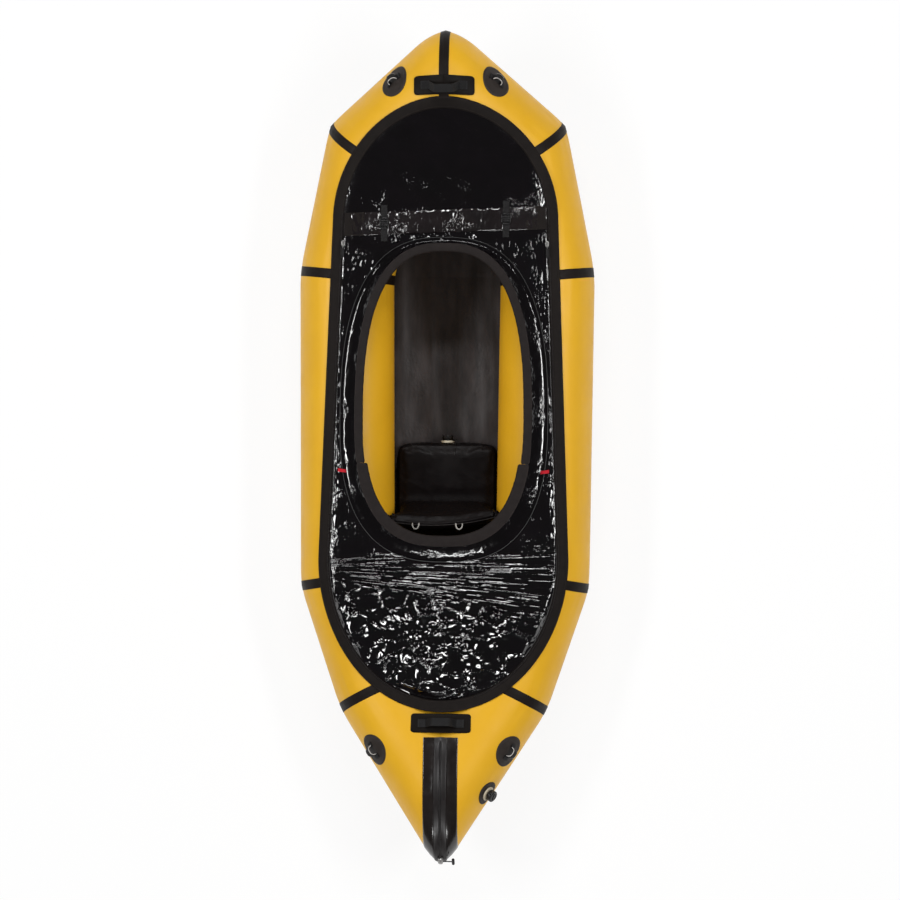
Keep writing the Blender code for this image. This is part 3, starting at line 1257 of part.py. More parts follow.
def ring_plate(outline, hole, under, top):
    """A flat plate with a hole: two like plan curves, each (count, 3) in the plate's plane, and its two sides."""
    rows_top = np.stack([outline + top, hole + top], 1)
    rows_under = np.stack([outline + under, hole + under], 1)
    return slab(rows_top, rows_under, wrap_rows=True)


def build_deck_buckles():
    """A strap and a ladder-lock frame on each half of the deck band."""
    for name, side in (("starboard", 1.0), ("port", -1.0)):
        x = side * STRAP_ASIDE
        middle = float(band_line(x, 0.5))
        along = STRAP_LENGTH / 2 * np.linspace(-1.0, 1.0, STRAP_SAMPLES)
        level = taut_height(middle + along) + DECK_LIFT + BAND_LIFT + BAND_THICKNESS
        slope = float(level[-1] - level[0]) / STRAP_LENGTH
        foot = float(np.max(level - slope * along)) + LAYER_GAP + STRAP_THICKNESS / 2
        ends = along[[0, -1]]
        path = np.column_stack([np.full(2, x), middle + ends, foot + slope * ends])
        points, faces = swept(path, np.array([1.0, 0.0, 0.0]), flat_section(STRAP_WIDTH, STRAP_THICKNESS))
        add_piece(f"deck_strap_{name}", points, faces, WEBBING_BLACK)
        level = foot + STRAP_THICKNESS / 2 + LAYER_GAP
        wide, slot = BUCKLE_WIDTH / 2, BUCKLE_SLOT_WIDTH / 2
        long, rest, bar = BUCKLE_LENGTH / 2, BUCKLE_LENGTH / 2 - BUCKLE_BAR, BUCKLE_BAR / 2

        def under(y):
            return level + slope * (y - middle)

        def upper(y):
            return under(y) + BUCKLE_THICKNESS

        across = x + np.array([-wide, -slot, slot, wide])
        along = middle + np.array([-long, -rest, -bar, bar, rest, long])
        points, faces = barred_plate(across, along, ((1, 1), (1, 3)), under, upper)
        add_piece(f"deck_buckle_{name}", points, faces, PLASTIC_BLACK)


def hem_line(y):
    """Place of the deck's hem on its straight starboard side."""
    return float(outline_half(y, HEM_INSET))


def build_deck_sliders():
    """The two deck zip sliders on the hem, each with a pull tab; both start beside the band."""
    start_y = float(band_line(-DECK_BOW_HALF, 0.0)) - DECK_SLIDER_LENGTH
    end_y = start_y - DECK_ZIP_TRAVEL
    probe = np.linspace(end_y, start_y, TAUT_SAMPLES)
    start_x, end_x = hem_line(start_y), hem_line(end_y)
    x = np.interp(probe, [end_y, start_y], [end_x, start_x])
    height = sheet_height(x, probe)
    ends = height[[0, -1]]
    line = np.interp(probe, [end_y, start_y], ends)
    lift = float(np.max(height - line)) + DECK_LIFT + DECK_THICKNESS + SLIDER_LIFT
    first = np.array([start_x, start_y, ends[1] + lift - SLIDER_DIP])
    last = np.array([end_x, end_y, ends[0] + lift])
    run = unit(last - first)
    across = unit(np.cross(run, np.array([0.0, 0.0, 1.0])))
    upward = np.cross(across, run)
    stations = np.array(SLIDER_ALONG_SHARES) * DECK_SLIDER_LENGTH
    widths = np.array(SLIDER_WIDTH_SHARES) * DECK_SLIDER_WIDTH / 2
    rings = []
    for t, w in zip(stations, widths):
        base = first + t * run
        rings.append([base - w * across, base + w * across,
                      base + w * across + DECK_SLIDER_HEIGHT * upward, base - w * across + DECK_SLIDER_HEIGHT * upward])
    body, body_faces = loft(np.array(rings))
    reach = DECK_TAB_WIDTH / 2
    pivot = first + (DECK_SLIDER_LENGTH / 2 + reach + LAYER_GAP) * run + DECK_SLIDER_HEIGHT * upward
    turn = np.arange(12) * math.tau / 12
    circle = np.column_stack([np.cos(turn), np.sin(turn)])
    flat = np.array([run, across])
    outline = pivot + (circle * reach + np.column_stack([np.where(circle[:, 0] > 0, DECK_TAB_LENGTH, 0.0),
                                                         np.zeros(12)])) @ flat
    hole = pivot + circle * reach * TAB_HOLE_SHARE @ flat
    half = DECK_TAB_THICKNESS / 2 * upward
    tab, tab_faces = ring_plate(outline, hole, -half, half)
    for name, turn_side in (("starboard", 1.0), ("port", -1.0)):
        scale = np.array([turn_side, 1.0, 1.0])
        slider = add_piece(f"deck_zip_slider_{name}", body * scale, body_faces, SLIDER_METAL,
                           pivot=first * scale)
        add_piece(f"deck_zip_pull_{name}", tab * scale, tab_faces, WEBBING_BLACK,
                  pivot=pivot * scale, parent=slider)


def main():
    """Clears the scene and builds every piece."""
    for old in list(bpy.data.objects):
        bpy.data.objects.remove(old)
    build_hull()
    build_tapes()
    build_floor()
    build_base_strip()
    build_fore_deck()
    build_deck_band()
    build_main_deck()
    build_collar()
    build_coaming()
    build_deck_buckles()
    build_deck_sliders()
    build_grab_loops()
    build_handles()
    build_cargo_zip()
    build_main_valve()
    build_seat()
    build_backrest()


main()
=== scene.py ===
"""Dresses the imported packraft: hull fabric, seam tapes, spray deck, zips, webbing, valves and seat.

Lengths are in metres; +Y is the bow, +X starboard and +Z up.
"""

import logging
import math
from dataclasses import dataclass
from enum import Enum

import bmesh
import bpy
import numpy as np
from mathutils import Matrix, Vector


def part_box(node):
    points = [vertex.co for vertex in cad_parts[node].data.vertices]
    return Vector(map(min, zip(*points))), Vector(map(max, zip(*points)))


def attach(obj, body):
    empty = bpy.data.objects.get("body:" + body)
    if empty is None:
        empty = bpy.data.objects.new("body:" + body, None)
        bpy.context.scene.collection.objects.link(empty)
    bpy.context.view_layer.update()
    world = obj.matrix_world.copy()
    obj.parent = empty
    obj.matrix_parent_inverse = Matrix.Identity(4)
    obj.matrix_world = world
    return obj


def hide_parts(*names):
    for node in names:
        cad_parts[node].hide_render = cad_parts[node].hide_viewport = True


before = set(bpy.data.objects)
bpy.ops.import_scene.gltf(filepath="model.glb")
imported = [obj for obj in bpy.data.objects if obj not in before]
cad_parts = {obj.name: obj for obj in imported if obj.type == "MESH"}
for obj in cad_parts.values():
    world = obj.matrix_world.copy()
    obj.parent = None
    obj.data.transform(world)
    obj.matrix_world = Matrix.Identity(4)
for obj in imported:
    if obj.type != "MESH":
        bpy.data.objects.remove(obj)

LOG = logging.getLogger("packraft")
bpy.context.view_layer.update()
Array = np.ndarray
Colour = tuple[float, float, float]
Solid = tuple  # vertices, faces and, where the finish follows it, a UV map in metres
X_AXIS, Y_AXIS, Z_AXIS = np.eye(3)


class Side(Enum):
    """Which half of the raft a piece belongs to."""

    STARBOARD = 1.0
    PORT = -1.0

    @property
    def label(self) -> str:
        """The side's word in piece names."""
        return self.name.lower()


def unit(vector: Array) -> Array:
    """A vector, or each of an array of vectors, divided by its length."""
    return vector / np.maximum(np.linalg.norm(vector, axis=-1, keepdims=True), 1e-12)


def mirrored(points: Array, side: Side = Side.PORT) -> Array:
    """The points with x times the side's sign."""
    return points * np.array([side.value, 1.0, 1.0])


def ease(value: Array) -> Array:
    """Smooth step 3t^2 - 2t^3 of the value clipped to 0..1."""
    t = np.clip(value, 0.0, 1.0)
    return t * t * (3 - 2 * t)


def full_turn(count: int, shift: float = 0.0) -> Array:
    """Evenly spaced angles of a full turn, moved on by a share of their step."""
    return (np.arange(count) + shift) * math.tau / count


def squared(angle: Array, power: float, other: float | None = None) -> tuple[Array, Array]:
    """Signed powers of cosine and sine: a circle that turns squarer as the power falls below 1.

    Args:
        angle: angles in radians.
        power: power of the cosine's size, and of the sine's unless it has its own.
        other: power of the sine's size.

    Returns:
        The two coordinates, each between -1 and 1.
    """
    c, s = np.cos(angle), np.sin(angle)
    return np.sign(c) * np.abs(c) ** power, np.sign(s) * np.abs(s) ** (other or power)


def walk(points: Array) -> Array:
    """Distance walked along a row of points, from its start to each of them."""
    return np.concatenate([[0.0], np.cumsum(np.linalg.norm(np.diff(points, axis=0), axis=1))])


def places_at(points: Array, at: Array) -> Array:
    """Places on the polyline through a row of points at walked distances."""
    walked = walk(points)
    return np.column_stack([np.interp(at, walked, column) for column in points.T])


def crossed(rows: Array, columns: Array) -> Array:
    """UV grid (rows, columns, 2) from a value for each row and one for each column."""
    return np.stack(np.broadcast_arrays(rows[:, None], columns[None]), -1)


def ridge_at(value: Array, centre: float, width: float, power: int = 2) -> Array:
    """Bell exp(-((value - centre) / width)^power), 1 at its centre."""
    return np.exp(-((value - centre) / width) ** power)


class Ripple:
    """Folds in thin film, as sums of plane waves whose phase is bent by longer waves."""

    def __init__(self, seed: int) -> None:
        """Args: seed: picks the waves."""
        self.rng = np.random.RandomState(seed)

    def bent(self, x: Array, y: Array, size: float) -> tuple[Array, Array]:
        """Two slow fields, each the mean of four sines of random direction at about the given wavelength."""
        fields = []
        for _ in range(2):
            total = np.zeros_like(x)
            for _ in range(4):
                turn = self.rng.uniform(0, math.tau)
                wave = math.tau / (size * self.rng.uniform(0.7, 1.5))
                total += np.sin(wave * (x * math.cos(turn) + y * math.sin(turn)) + self.rng.uniform(0, math.tau))
            fields.append(total / 4)
        return fields[0], fields[1]

    def creases(self, x: Array, y: Array, size: float, turn: float, spread: float, count: int = 5,
                sharp: float = 2.0) -> Array:
        """Crease field between 0 and 1: mean of (1 - |sin|)^sharp over waves near one direction.

        Args:
            x: across positions.
            y: along positions.
            size: wavelength of the creases.
            turn: direction across the creases, in radians.
            spread: how far single waves turn from it.
            count: number of waves.
            sharp: power that narrows each crest.

        Returns:
            The field at each position.
        """
        a, b = self.bent(x, y, size * 5)
        total = np.zeros_like(x)
        for _ in range(count):
            angle = turn + self.rng.uniform(-spread, spread)
            wave = math.pi / (size * self.rng.uniform(0.6, 1.7))
            px = x + a * size * 0.9
            py = y + b * size * 0.9
            phase = wave * (px * math.cos(angle) + py * math.sin(angle)) + self.rng.uniform(0, math.tau)
            mask = 0.35 + 0.65 * ease(0.5 + 1.3 * a * math.cos(angle * 3) + 0.9 * b)
            total += mask * (1 - np.abs(np.sin(phase))) ** sharp
        return total / count

    def facets(self, x: Array, y: Array, size: float, bend: float = 0.35) -> Array:
        """Crumple field, 0 at scattered points and about 1 on the ridges between them.

        Args:
            x: across positions.
            y: along positions.
            size: spacing of the points, and the unit of the distances.
            bend: how far the positions are bent first, as a share of the size.

        Returns:
            Distance of each position from the nearest point.
        """
        a, b = self.bent(x, y, size * 4)
        px, py = x + a * size * bend, y + b * size * bend
        low = np.array([px.min(), py.min()])
        high = np.array([px.max(), py.max()])
        count = max(2, int(np.prod(high - low) / size**2))
        nearest = np.full(x.shape, np.inf)
        for at in self.rng.uniform(low, high, (count, 2)):
            nearest = np.minimum(nearest, (px - at[0]) ** 2 + (py - at[1]) ** 2)
        return np.sqrt(nearest) / size


# Materials


class Ink:
    """Short calls for the nodes of one procedural material."""

    def __init__(self, name: str, slot: str, colour: Colour, roughness: float, metallic: float = 0.0,
                 shine: float | None = None) -> None:
        """Makes the material and its shader.

        Args:
            name: material name.
            slot: the record's material slot it stands for.
            colour: base colour, linear.
            roughness: base roughness.
            metallic: 0 or 1.
            shine: specular level, or None for the shader's own.
        """
        self.material = bpy.data.materials.new(name)
        self.material.use_nodes = True
        self.material.diffuse_color = (*colour, 1.0)
        self.slot = slot
        self.base = np.array(colour)
        self.nodes = self.material.node_tree.nodes
        self.links = self.material.node_tree.links
        self.shader = self.nodes["Principled BSDF"]
        self.fill(self.shader, {"Base Color": (*colour, 1.0), "Roughness": roughness, "Metallic": metallic})
        if shine is not None:
            self.fill(self.shader, {"Specular IOR Level": shine})
        self.coords = self.nodes.new("ShaderNodeTexCoord")
        self.bumped = None

    def fill(self, node: bpy.types.Node, inputs: dict) -> None:
        """Links each named or numbered input to a socket, or sets it to a value."""
        for label, value in inputs.items():
            if isinstance(value, bpy.types.NodeSocket):
                self.links.new(value, node.inputs[label])
            else:
                node.inputs[label].default_value = value

    def node(self, kind: str, inputs: dict | None = None, **settings) -> bpy.types.Node:
        """A new node with its settings and inputs filled in.

        Args:
            kind: the node's type, without its prefix.
            inputs: sockets or values by input label or number.
            settings: attributes of the node.

        Returns:
            The node.
        """
        node = self.nodes.new(f"ShaderNode{kind}")
        for label, value in settings.items():
            setattr(node, label, value)
        self.fill(node, inputs or {})
        return node

    def place(self, scale: tuple[float, float, float] = (1.0, 1.0, 1.0), uv: bool = False):
        """A stretched coordinate, of the object or of the piece's UV map."""
        source = self.coords.outputs["UV" if uv else "Object"]
        return self.node("Mapping", {"Vector": source, "Scale": scale}).outputs["Vector"]

    def noise(self, scale: float, detail: float = 3.0, rough: float = 0.55, vector=None, warp: float = 0.0):
        """Noise between 0 and 1."""
        inputs = {"Scale": scale, "Detail": detail, "Roughness": rough, "Distortion": warp}
        return self.node("TexNoise", inputs | {"Vector": self.place() if vector is None else vector}).outputs["Fac"]

    def cells(self, scale: float, feature: str = "F1", vector=None):
        """Distance field of a Voronoi pattern."""
        inputs = {"Scale": scale, "Vector": self.place() if vector is None else vector}
        return self.node("TexVoronoi", inputs, feature=feature).outputs["Distance"]

    def maths(self, kind: str, *values):
        """A Math node on sockets or numbers."""
        return self.node("Math", dict(enumerate(values)), operation=kind).outputs["Value"]

    def times(self, first, *others):
        """The product of sockets or numbers."""
        for other in others:
            first = self.maths("MULTIPLY", first, other)
        return first

    def spread(self, value, low: float, high: float, to_low: float, to_high: float):
        """The value mapped linearly from one range to another, clamped."""
        limits = {"From Min": low, "From Max": high, "To Min": to_low, "To Max": to_high}
        return self.node("MapRange", limits | {"Value": value}).outputs["Result"]

    def split(self, vector) -> tuple:
        """The x, y and z sockets of a vector."""
        return tuple(self.node("SeparateXYZ", {"Vector": vector}).outputs)

    def join(self, x, y, z=0.0):
        """A vector from three sockets or numbers."""
        return self.node("CombineXYZ", {"X": x, "Y": y, "Z": z}).outputs["Vector"]

    def tint(self, *factors: float) -> Colour:
        """The base colour times one factor, or times one for each channel."""
        return tuple((self.base * factors).tolist())

    def tones(self, fac, *stops: tuple[float, Colour]) -> None:
        """Base colour from a ramp over a value; each stop is a place and a colour."""
        ramp = self.node("ValToRGB", {"Fac": fac})
        elements = ramp.color_ramp.elements
        while len(elements) < len(stops):
            elements.new(0.5)
        for element, (at, shade) in zip(elements, stops):
            element.position = at
            element.color = (*shade, 1.0)
        self.fill(self.shader, {"Base Color": ramp.outputs["Color"]})

    def rough(self, value, low: float, high: float, start: float = 0.3) -> None:
        """Roughness between low and high while the value runs from its start to 0.7."""
        self.fill(self.shader, {"Roughness": self.spread(value, start, 0.7, low, high)})

    def bump(self, height, strength: float, distance: float) -> None:
        """Adds a bump layer on top of those before it."""
        inputs = {"Height": height, "Strength": strength, "Distance": distance}
        if self.bumped is not None:
            inputs["Normal"] = self.bumped
        self.bumped = self.node("Bump", inputs).outputs["Normal"]
        self.fill(self.shader, {"Normal": self.bumped})


@dataclass(frozen=True)
class HullCoat:
    """Yellow coated fabric: fine weave under a satin film, with faint cloudiness."""

    colour: Colour = (0.775, 0.420, 0.015)
    weave: float = 900.0

    def build(self) -> Ink:
        """The finished material."""
        ink = Ink("HullFabric", "hull_fabric", self.colour, 0.42, shine=0.32)
        ink.tones(ink.noise(5.0, 4.0, 0.6), (0.25, ink.tint(0.95, 0.93, 0.8)), (0.75, ink.tint(1.02, 1.03, 1.15)))
        ink.rough(ink.noise(22.0), 0.38, 0.52)
        ink.bump(ink.noise(9.0, 3.0, 0.5), 0.25, 0.004)
        ink.bump(ink.noise(60.0, 4.0, 0.6, warp=0.4), 0.10, 0.0012)
        ink.bump(ink.cells(self.weave), 0.06, 0.0004)
        return ink


@dataclass(frozen=True)
class Film:
    """Black film that crinkles and shines, such as the deck's."""

    name: str = "DeckFilm"
    slot: str = "deck_fabric"
    colour: Colour = (0.0014, 0.0008, 0.0013)
    gloss: tuple[float, float] = (0.05, 0.13)
    crinkle: float = 1.0
    shine: float = 1.0
    shade: float = 1.9
    drawn: tuple[float, float, float] = (1.0, 1.0, 1.0)
    pulled: bool = False
    lively: float = 0.0

    def build(self) -> Ink:
        """The finished material; with `lively`, its crinkles fade out ahead of that place along the hull."""
        ink = Ink(self.name, self.slot, self.colour, self.gloss[0], shine=self.shine)
        # Colour mottle from stretched noise, random on the deck films; on the floor it is drawn out into lengthwise
        # streaks of painted fold shade and painted lit patches.
        ink.tones(ink.noise(14.0, vector=ink.place(self.drawn)), (0.3, self.colour), (0.75, ink.tint(self.shade)))
        ink.rough(ink.noise(34.0, 4.0, 0.65), *self.gloss, start=0.35)
        here = ink.spread(ink.noise(13.0, 2.0, 0.5), 0.47, 0.60, 0.0, 1.0)
        if self.lively:
            near = ink.spread(ink.split(ink.place())[1], self.lively - 0.06, self.lively + 0.06, 1.7, 0.1)
            here = ink.times(here, near)
        facet = ink.cells(120.0, "F1", ink.place((1.0, 0.7, 1.0)))
        ink.bump(ink.times(facet, here), 0.55 * self.crinkle, 0.0022)
        ink.bump(ink.times(ink.noise(150.0, 3.0, 0.6, warp=0.8), here), 0.4 * self.crinkle, 0.0014)
        if self.pulled:
            self.pull(ink)
        return ink

    @staticmethod
    def pull(ink: Ink) -> None:
        """Creases of the main deck: v = (y + 0.36) / (x + 0.60) is a line's slope from a point to port.

        Aft of the cockpit thin creases fan out along those lines, beyond them the film lies crumpled with sharp
        ridges round its facets, and beside the cockpit it is rucked lengthwise.
        """
        x, y, _ = ink.split(ink.place())
        reach = ink.maths("ADD", x, 0.60)
        v = ink.maths("DIVIDE", ink.maths("ADD", y, 0.36), reach)
        fan = ink.times(ink.spread(v, 0.12, 0.07, 0.0, 1.0), ink.spread(v, -0.24, -0.15, 0.0, 1.0))
        lines = ink.noise(62.0, 2.0, 0.5, ink.join(ink.times(x, 0.045), v), 0.2)
        ink.bump(ink.times(lines, reach, fan), 1.0, 0.0085)
        aft = ink.spread(v, -0.12, -0.20, 0.0, 1.0)
        ridge = ink.spread(ink.cells(21.0, "DISTANCE_TO_EDGE", ink.place((0.8, 1.0, 0.3))), 0.0, 0.11, 1.0, 0.0)
        ink.bump(ink.times(ridge, aft), 0.8, 0.0030)
        sides = ink.spread(y, -0.20, -0.28, 1.0, 0.0)
        ruck = ink.noise(110.0, 3.0, 0.6, ink.join(x, ink.times(y, 0.22)), 0.6)
        patchy = ink.spread(ink.noise(22.0, 2.0), 0.44, 0.58, 0.0, 1.0)
        ink.bump(ink.times(ruck, patchy, sides), 0.6, 0.0032)


@dataclass(frozen=True)
class Cloth:
    """Matte woven cloth in one colour, with a visible grain."""

    name: str
    slot: str
    colour: Colour
    roughness: float = 0.75
    weave: float = 700.0
    depth: float = 0.25
    shine: float = 0.14

    def build(self) -> Ink:
        """The finished material."""
        ink = Ink(self.name, self.slot, self.colour, self.roughness, shine=self.shine)
        ink.tones(ink.noise(30.0, 5.0, 0.7), (0.3, ink.tint(0.8)), (0.75, ink.tint(1.35, 1.3, 1.3)))
        ink.rough(ink.noise(45.0), self.roughness - 0.08, self.roughness + 0.08)
        ink.bump(ink.noise(20.0, 4.0), 0.2, 0.002)
        ink.bump(ink.cells(self.weave), self.depth, 0.0005)
        return ink


@dataclass(frozen=True)
class Strip:
    """Matte edge strip with a sewn line along each side, which follows the piece's UV map in metres."""

    name: str
    slot: str
    colour: Colour
    lines: tuple[float, ...] = (0.004,)
    stitch: float = 0.0045

    def build(self) -> Ink:
        """The finished material; a stitch shows where the sine along its line is above -0.4."""
        ink = Ink(self.name, self.slot, self.colour, 0.68, shine=0.13)
        along, across, _ = ink.split(ink.place(uv=True))
        dash = ink.maths("GREATER_THAN", ink.maths("SINE", ink.times(along, math.tau / self.stitch)), -0.4)
        total = 0.0
        for line in self.lines:
            total = ink.maths("MAXIMUM", total, ink.times(ink.maths("COMPARE", across, line, 0.0006), dash))
        fac = ink.maths("ADD", ink.times(ink.noise(40.0, 5.0, 0.7), 0.6), ink.times(total, 0.4))
        ink.tones(fac, (0.15, ink.tint(0.7)), (0.6, ink.tint(1.3)), (0.8, ink.tint(3.2)))
        ink.bump(total, 0.5, 0.0008)
        ink.bump(ink.cells(600.0), 0.22, 0.0005)
        ink.bump(ink.noise(16.0), 0.2, 0.002)
        return ink


@dataclass(frozen=True)
class Webbing:
    """Ribbed nylon webbing: chevrons that follow the piece's UV map in metres."""

    name: str = "Webbing"
    colour: Colour = (0.0050, 0.0045, 0.0048)
    # colour of the painted highlight along the webbing's edges
    pale: Colour = (0.60, 0.57, 0.54)
    rib: float = 0.0016
    # distance from the middle line past which the painted edge highlight shows; 0 for none
    edge: float = 0.0

    def build(self) -> Ink:
        """The finished material; past `edge` from its middle line the webbing takes a pale painted highlight, where
        that is not 0.
        """
        ink = Ink(self.name, "webbing", self.colour, 0.62, shine=0.3)
        along, across, _ = ink.split(ink.place(uv=True))
        tent = ink.maths("PINGPONG", across, 0.004)
        phase = ink.times(ink.maths("ADD", along, tent), math.tau / self.rib)
        ribs = ink.maths("MULTIPLY_ADD", ink.maths("SINE", phase), 0.5, 0.5)
        dark, light = ink.tint(0.5), ink.tint(1.8)
        if self.edge:
            border = ink.maths("GREATER_THAN", ink.maths("ABSOLUTE", across), self.edge)
            tone = ink.maths("MAXIMUM", ink.times(ribs, 0.8), border)
            ink.tones(tone, (0.1, dark), (0.8, light), (1.0, self.pale))
        else:
            ink.tones(ribs, (0.1, dark), (0.9, light))
        ink.bump(ribs, 0.6, 0.0005)
        ink.bump(ink.noise(300.0), 0.15, 0.0003)
        return ink


@dataclass(frozen=True)
class Moulded:
    """Moulded rubber or plastic with a fine grain and rubbed highs."""

    name: str
    slot: str
    colour: Colour
    roughness: float = 0.45
    grain: float = 0.1
    shine: float = 0.35

    def build(self) -> Ink:
        """The finished material."""
        ink = Ink(self.name, self.slot, self.colour, self.roughness, shine=self.shine)
        ink.tones(ink.noise(60.0, 5.0, 0.7), (0.3, ink.tint(0.82)), (0.8, ink.tint(1.2)))
        ink.rough(ink.noise(120.0), self.roughness - 0.07, self.roughness + 0.1)
        ink.bump(ink.noise(900.0, 2.0), self.grain, 0.0003)
        return ink


@dataclass(frozen=True)
class Metal:
    """Die-cast zip metal, dulled and lightly scratched."""

    colour: Colour = (0.42, 0.41, 0.40)

    def build(self) -> Ink:
        """The finished material."""
        ink = Ink("SliderMetal", "slider_metal", self.colour, 0.34, 1.0)
        ink.tones(ink.noise(160.0, 4.0), (0.3, ink.tint(0.55)), (0.7, self.colour))
        ink.rough(ink.noise(220.0), 0.25, 0.5)
        ink.bump(ink.noise(500.0, 3.0, warp=1.0), 0.15, 0.0003)
        return ink


class Wardrobe:
    """All finishes of the raft, each built once."""

    def __init__(self) -> None:
        """Builds every material."""
        self.hull = HullCoat().build()
        self.tape = Cloth("SeamTape", "seam_tape", (0.0085, 0.0058, 0.0045), 0.55, 420.0, 0.3).build()
        self.film = Film(pulled=True).build()
        self.fore = Film("ForeFilm", gloss=(0.07, 0.13), lively=0.83).build()
        self.collar = Film("CollarFilm", gloss=(0.07, 0.17), crinkle=1.1, shine=0.8).build()
        # The floor's lengthwise colour streaks are painted shade of folds and painted lit patches.
        self.floor = Film("FloorFilm", "floor_fabric", (0.0200, 0.0168, 0.0168), (0.42, 0.54), 0.4, 0.5, 2.8,
                          (2.2, 0.45, 1.0)).build()
        self.strip = Strip("EdgeStrip", "strip_fabric", (0.0100, 0.0074, 0.0064), (0.004, 0.030)).build()
        self.band = Film("BandFilm", "strip_fabric", (0.0070, 0.0050, 0.0055), (0.09, 0.20), 1.7).build()
        self.zip_band = Film("ZipBand", "strip_fabric", (0.0085, 0.0065, 0.0060), (0.15, 0.26), 0.12, 0.62).build()
        self.coaming = Strip("CoamingCloth", "coaming_fabric", (0.0180, 0.0142, 0.0136), (0.002, 0.030)).build()
        self.patch = Moulded("PatchRubber", "patch_rubber", (0.0060, 0.0042, 0.0033), 0.50, 0.35, 0.10).build()
        self.disc = Moulded("DiscRubber", "patch_rubber", (0.0300, 0.0235, 0.0205), 0.55, 0.35, 0.20).build()
        self.webbing = Webbing().build()
        # The loops' webbing carries a pale painted highlight along both edges.
        self.loop = Webbing("LoopWebbing", edge=0.0086).build()
        self.black = Moulded("BlackPlastic", "black_plastic", (0.006, 0.0055, 0.006), 0.30).build()
        self.beige = Moulded("ValvePlastic", "valve_plastic", (0.52, 0.45, 0.33), 0.42).build()
        self.pale = Moulded("CushionValvePlastic", "valve_plastic", (0.78, 0.72, 0.56), 0.42).build()
        self.seal = Moulded("SealRubber", "seal_rubber", (0.03, 0.03, 0.03), 0.6, 0.3).build()
        self.teeth = Moulded("ZipTeeth", "zip_rubber", (0.015, 0.0125, 0.0125), 0.34).build()
        self.metal = Metal().build()
        self.seat = Cloth("CushionFabric", "seat_fabric", (0.0045, 0.0032, 0.0034), 0.46, 520.0, 0.35).build()
        self.cord = Cloth("Cord", "cord", (0.42, 0.41, 0.38), 0.8, 1500.0, 0.4).build()
        self.cord_dark = Cloth("Piping", "coaming_fabric", (0.035, 0.032, 0.031), 0.6, 1500.0, 0.2).build()
        self.red = Cloth("RedTab", "webbing", (0.42, 0.012, 0.022), 0.7, 1100.0, 0.3).build()


# Mesh making


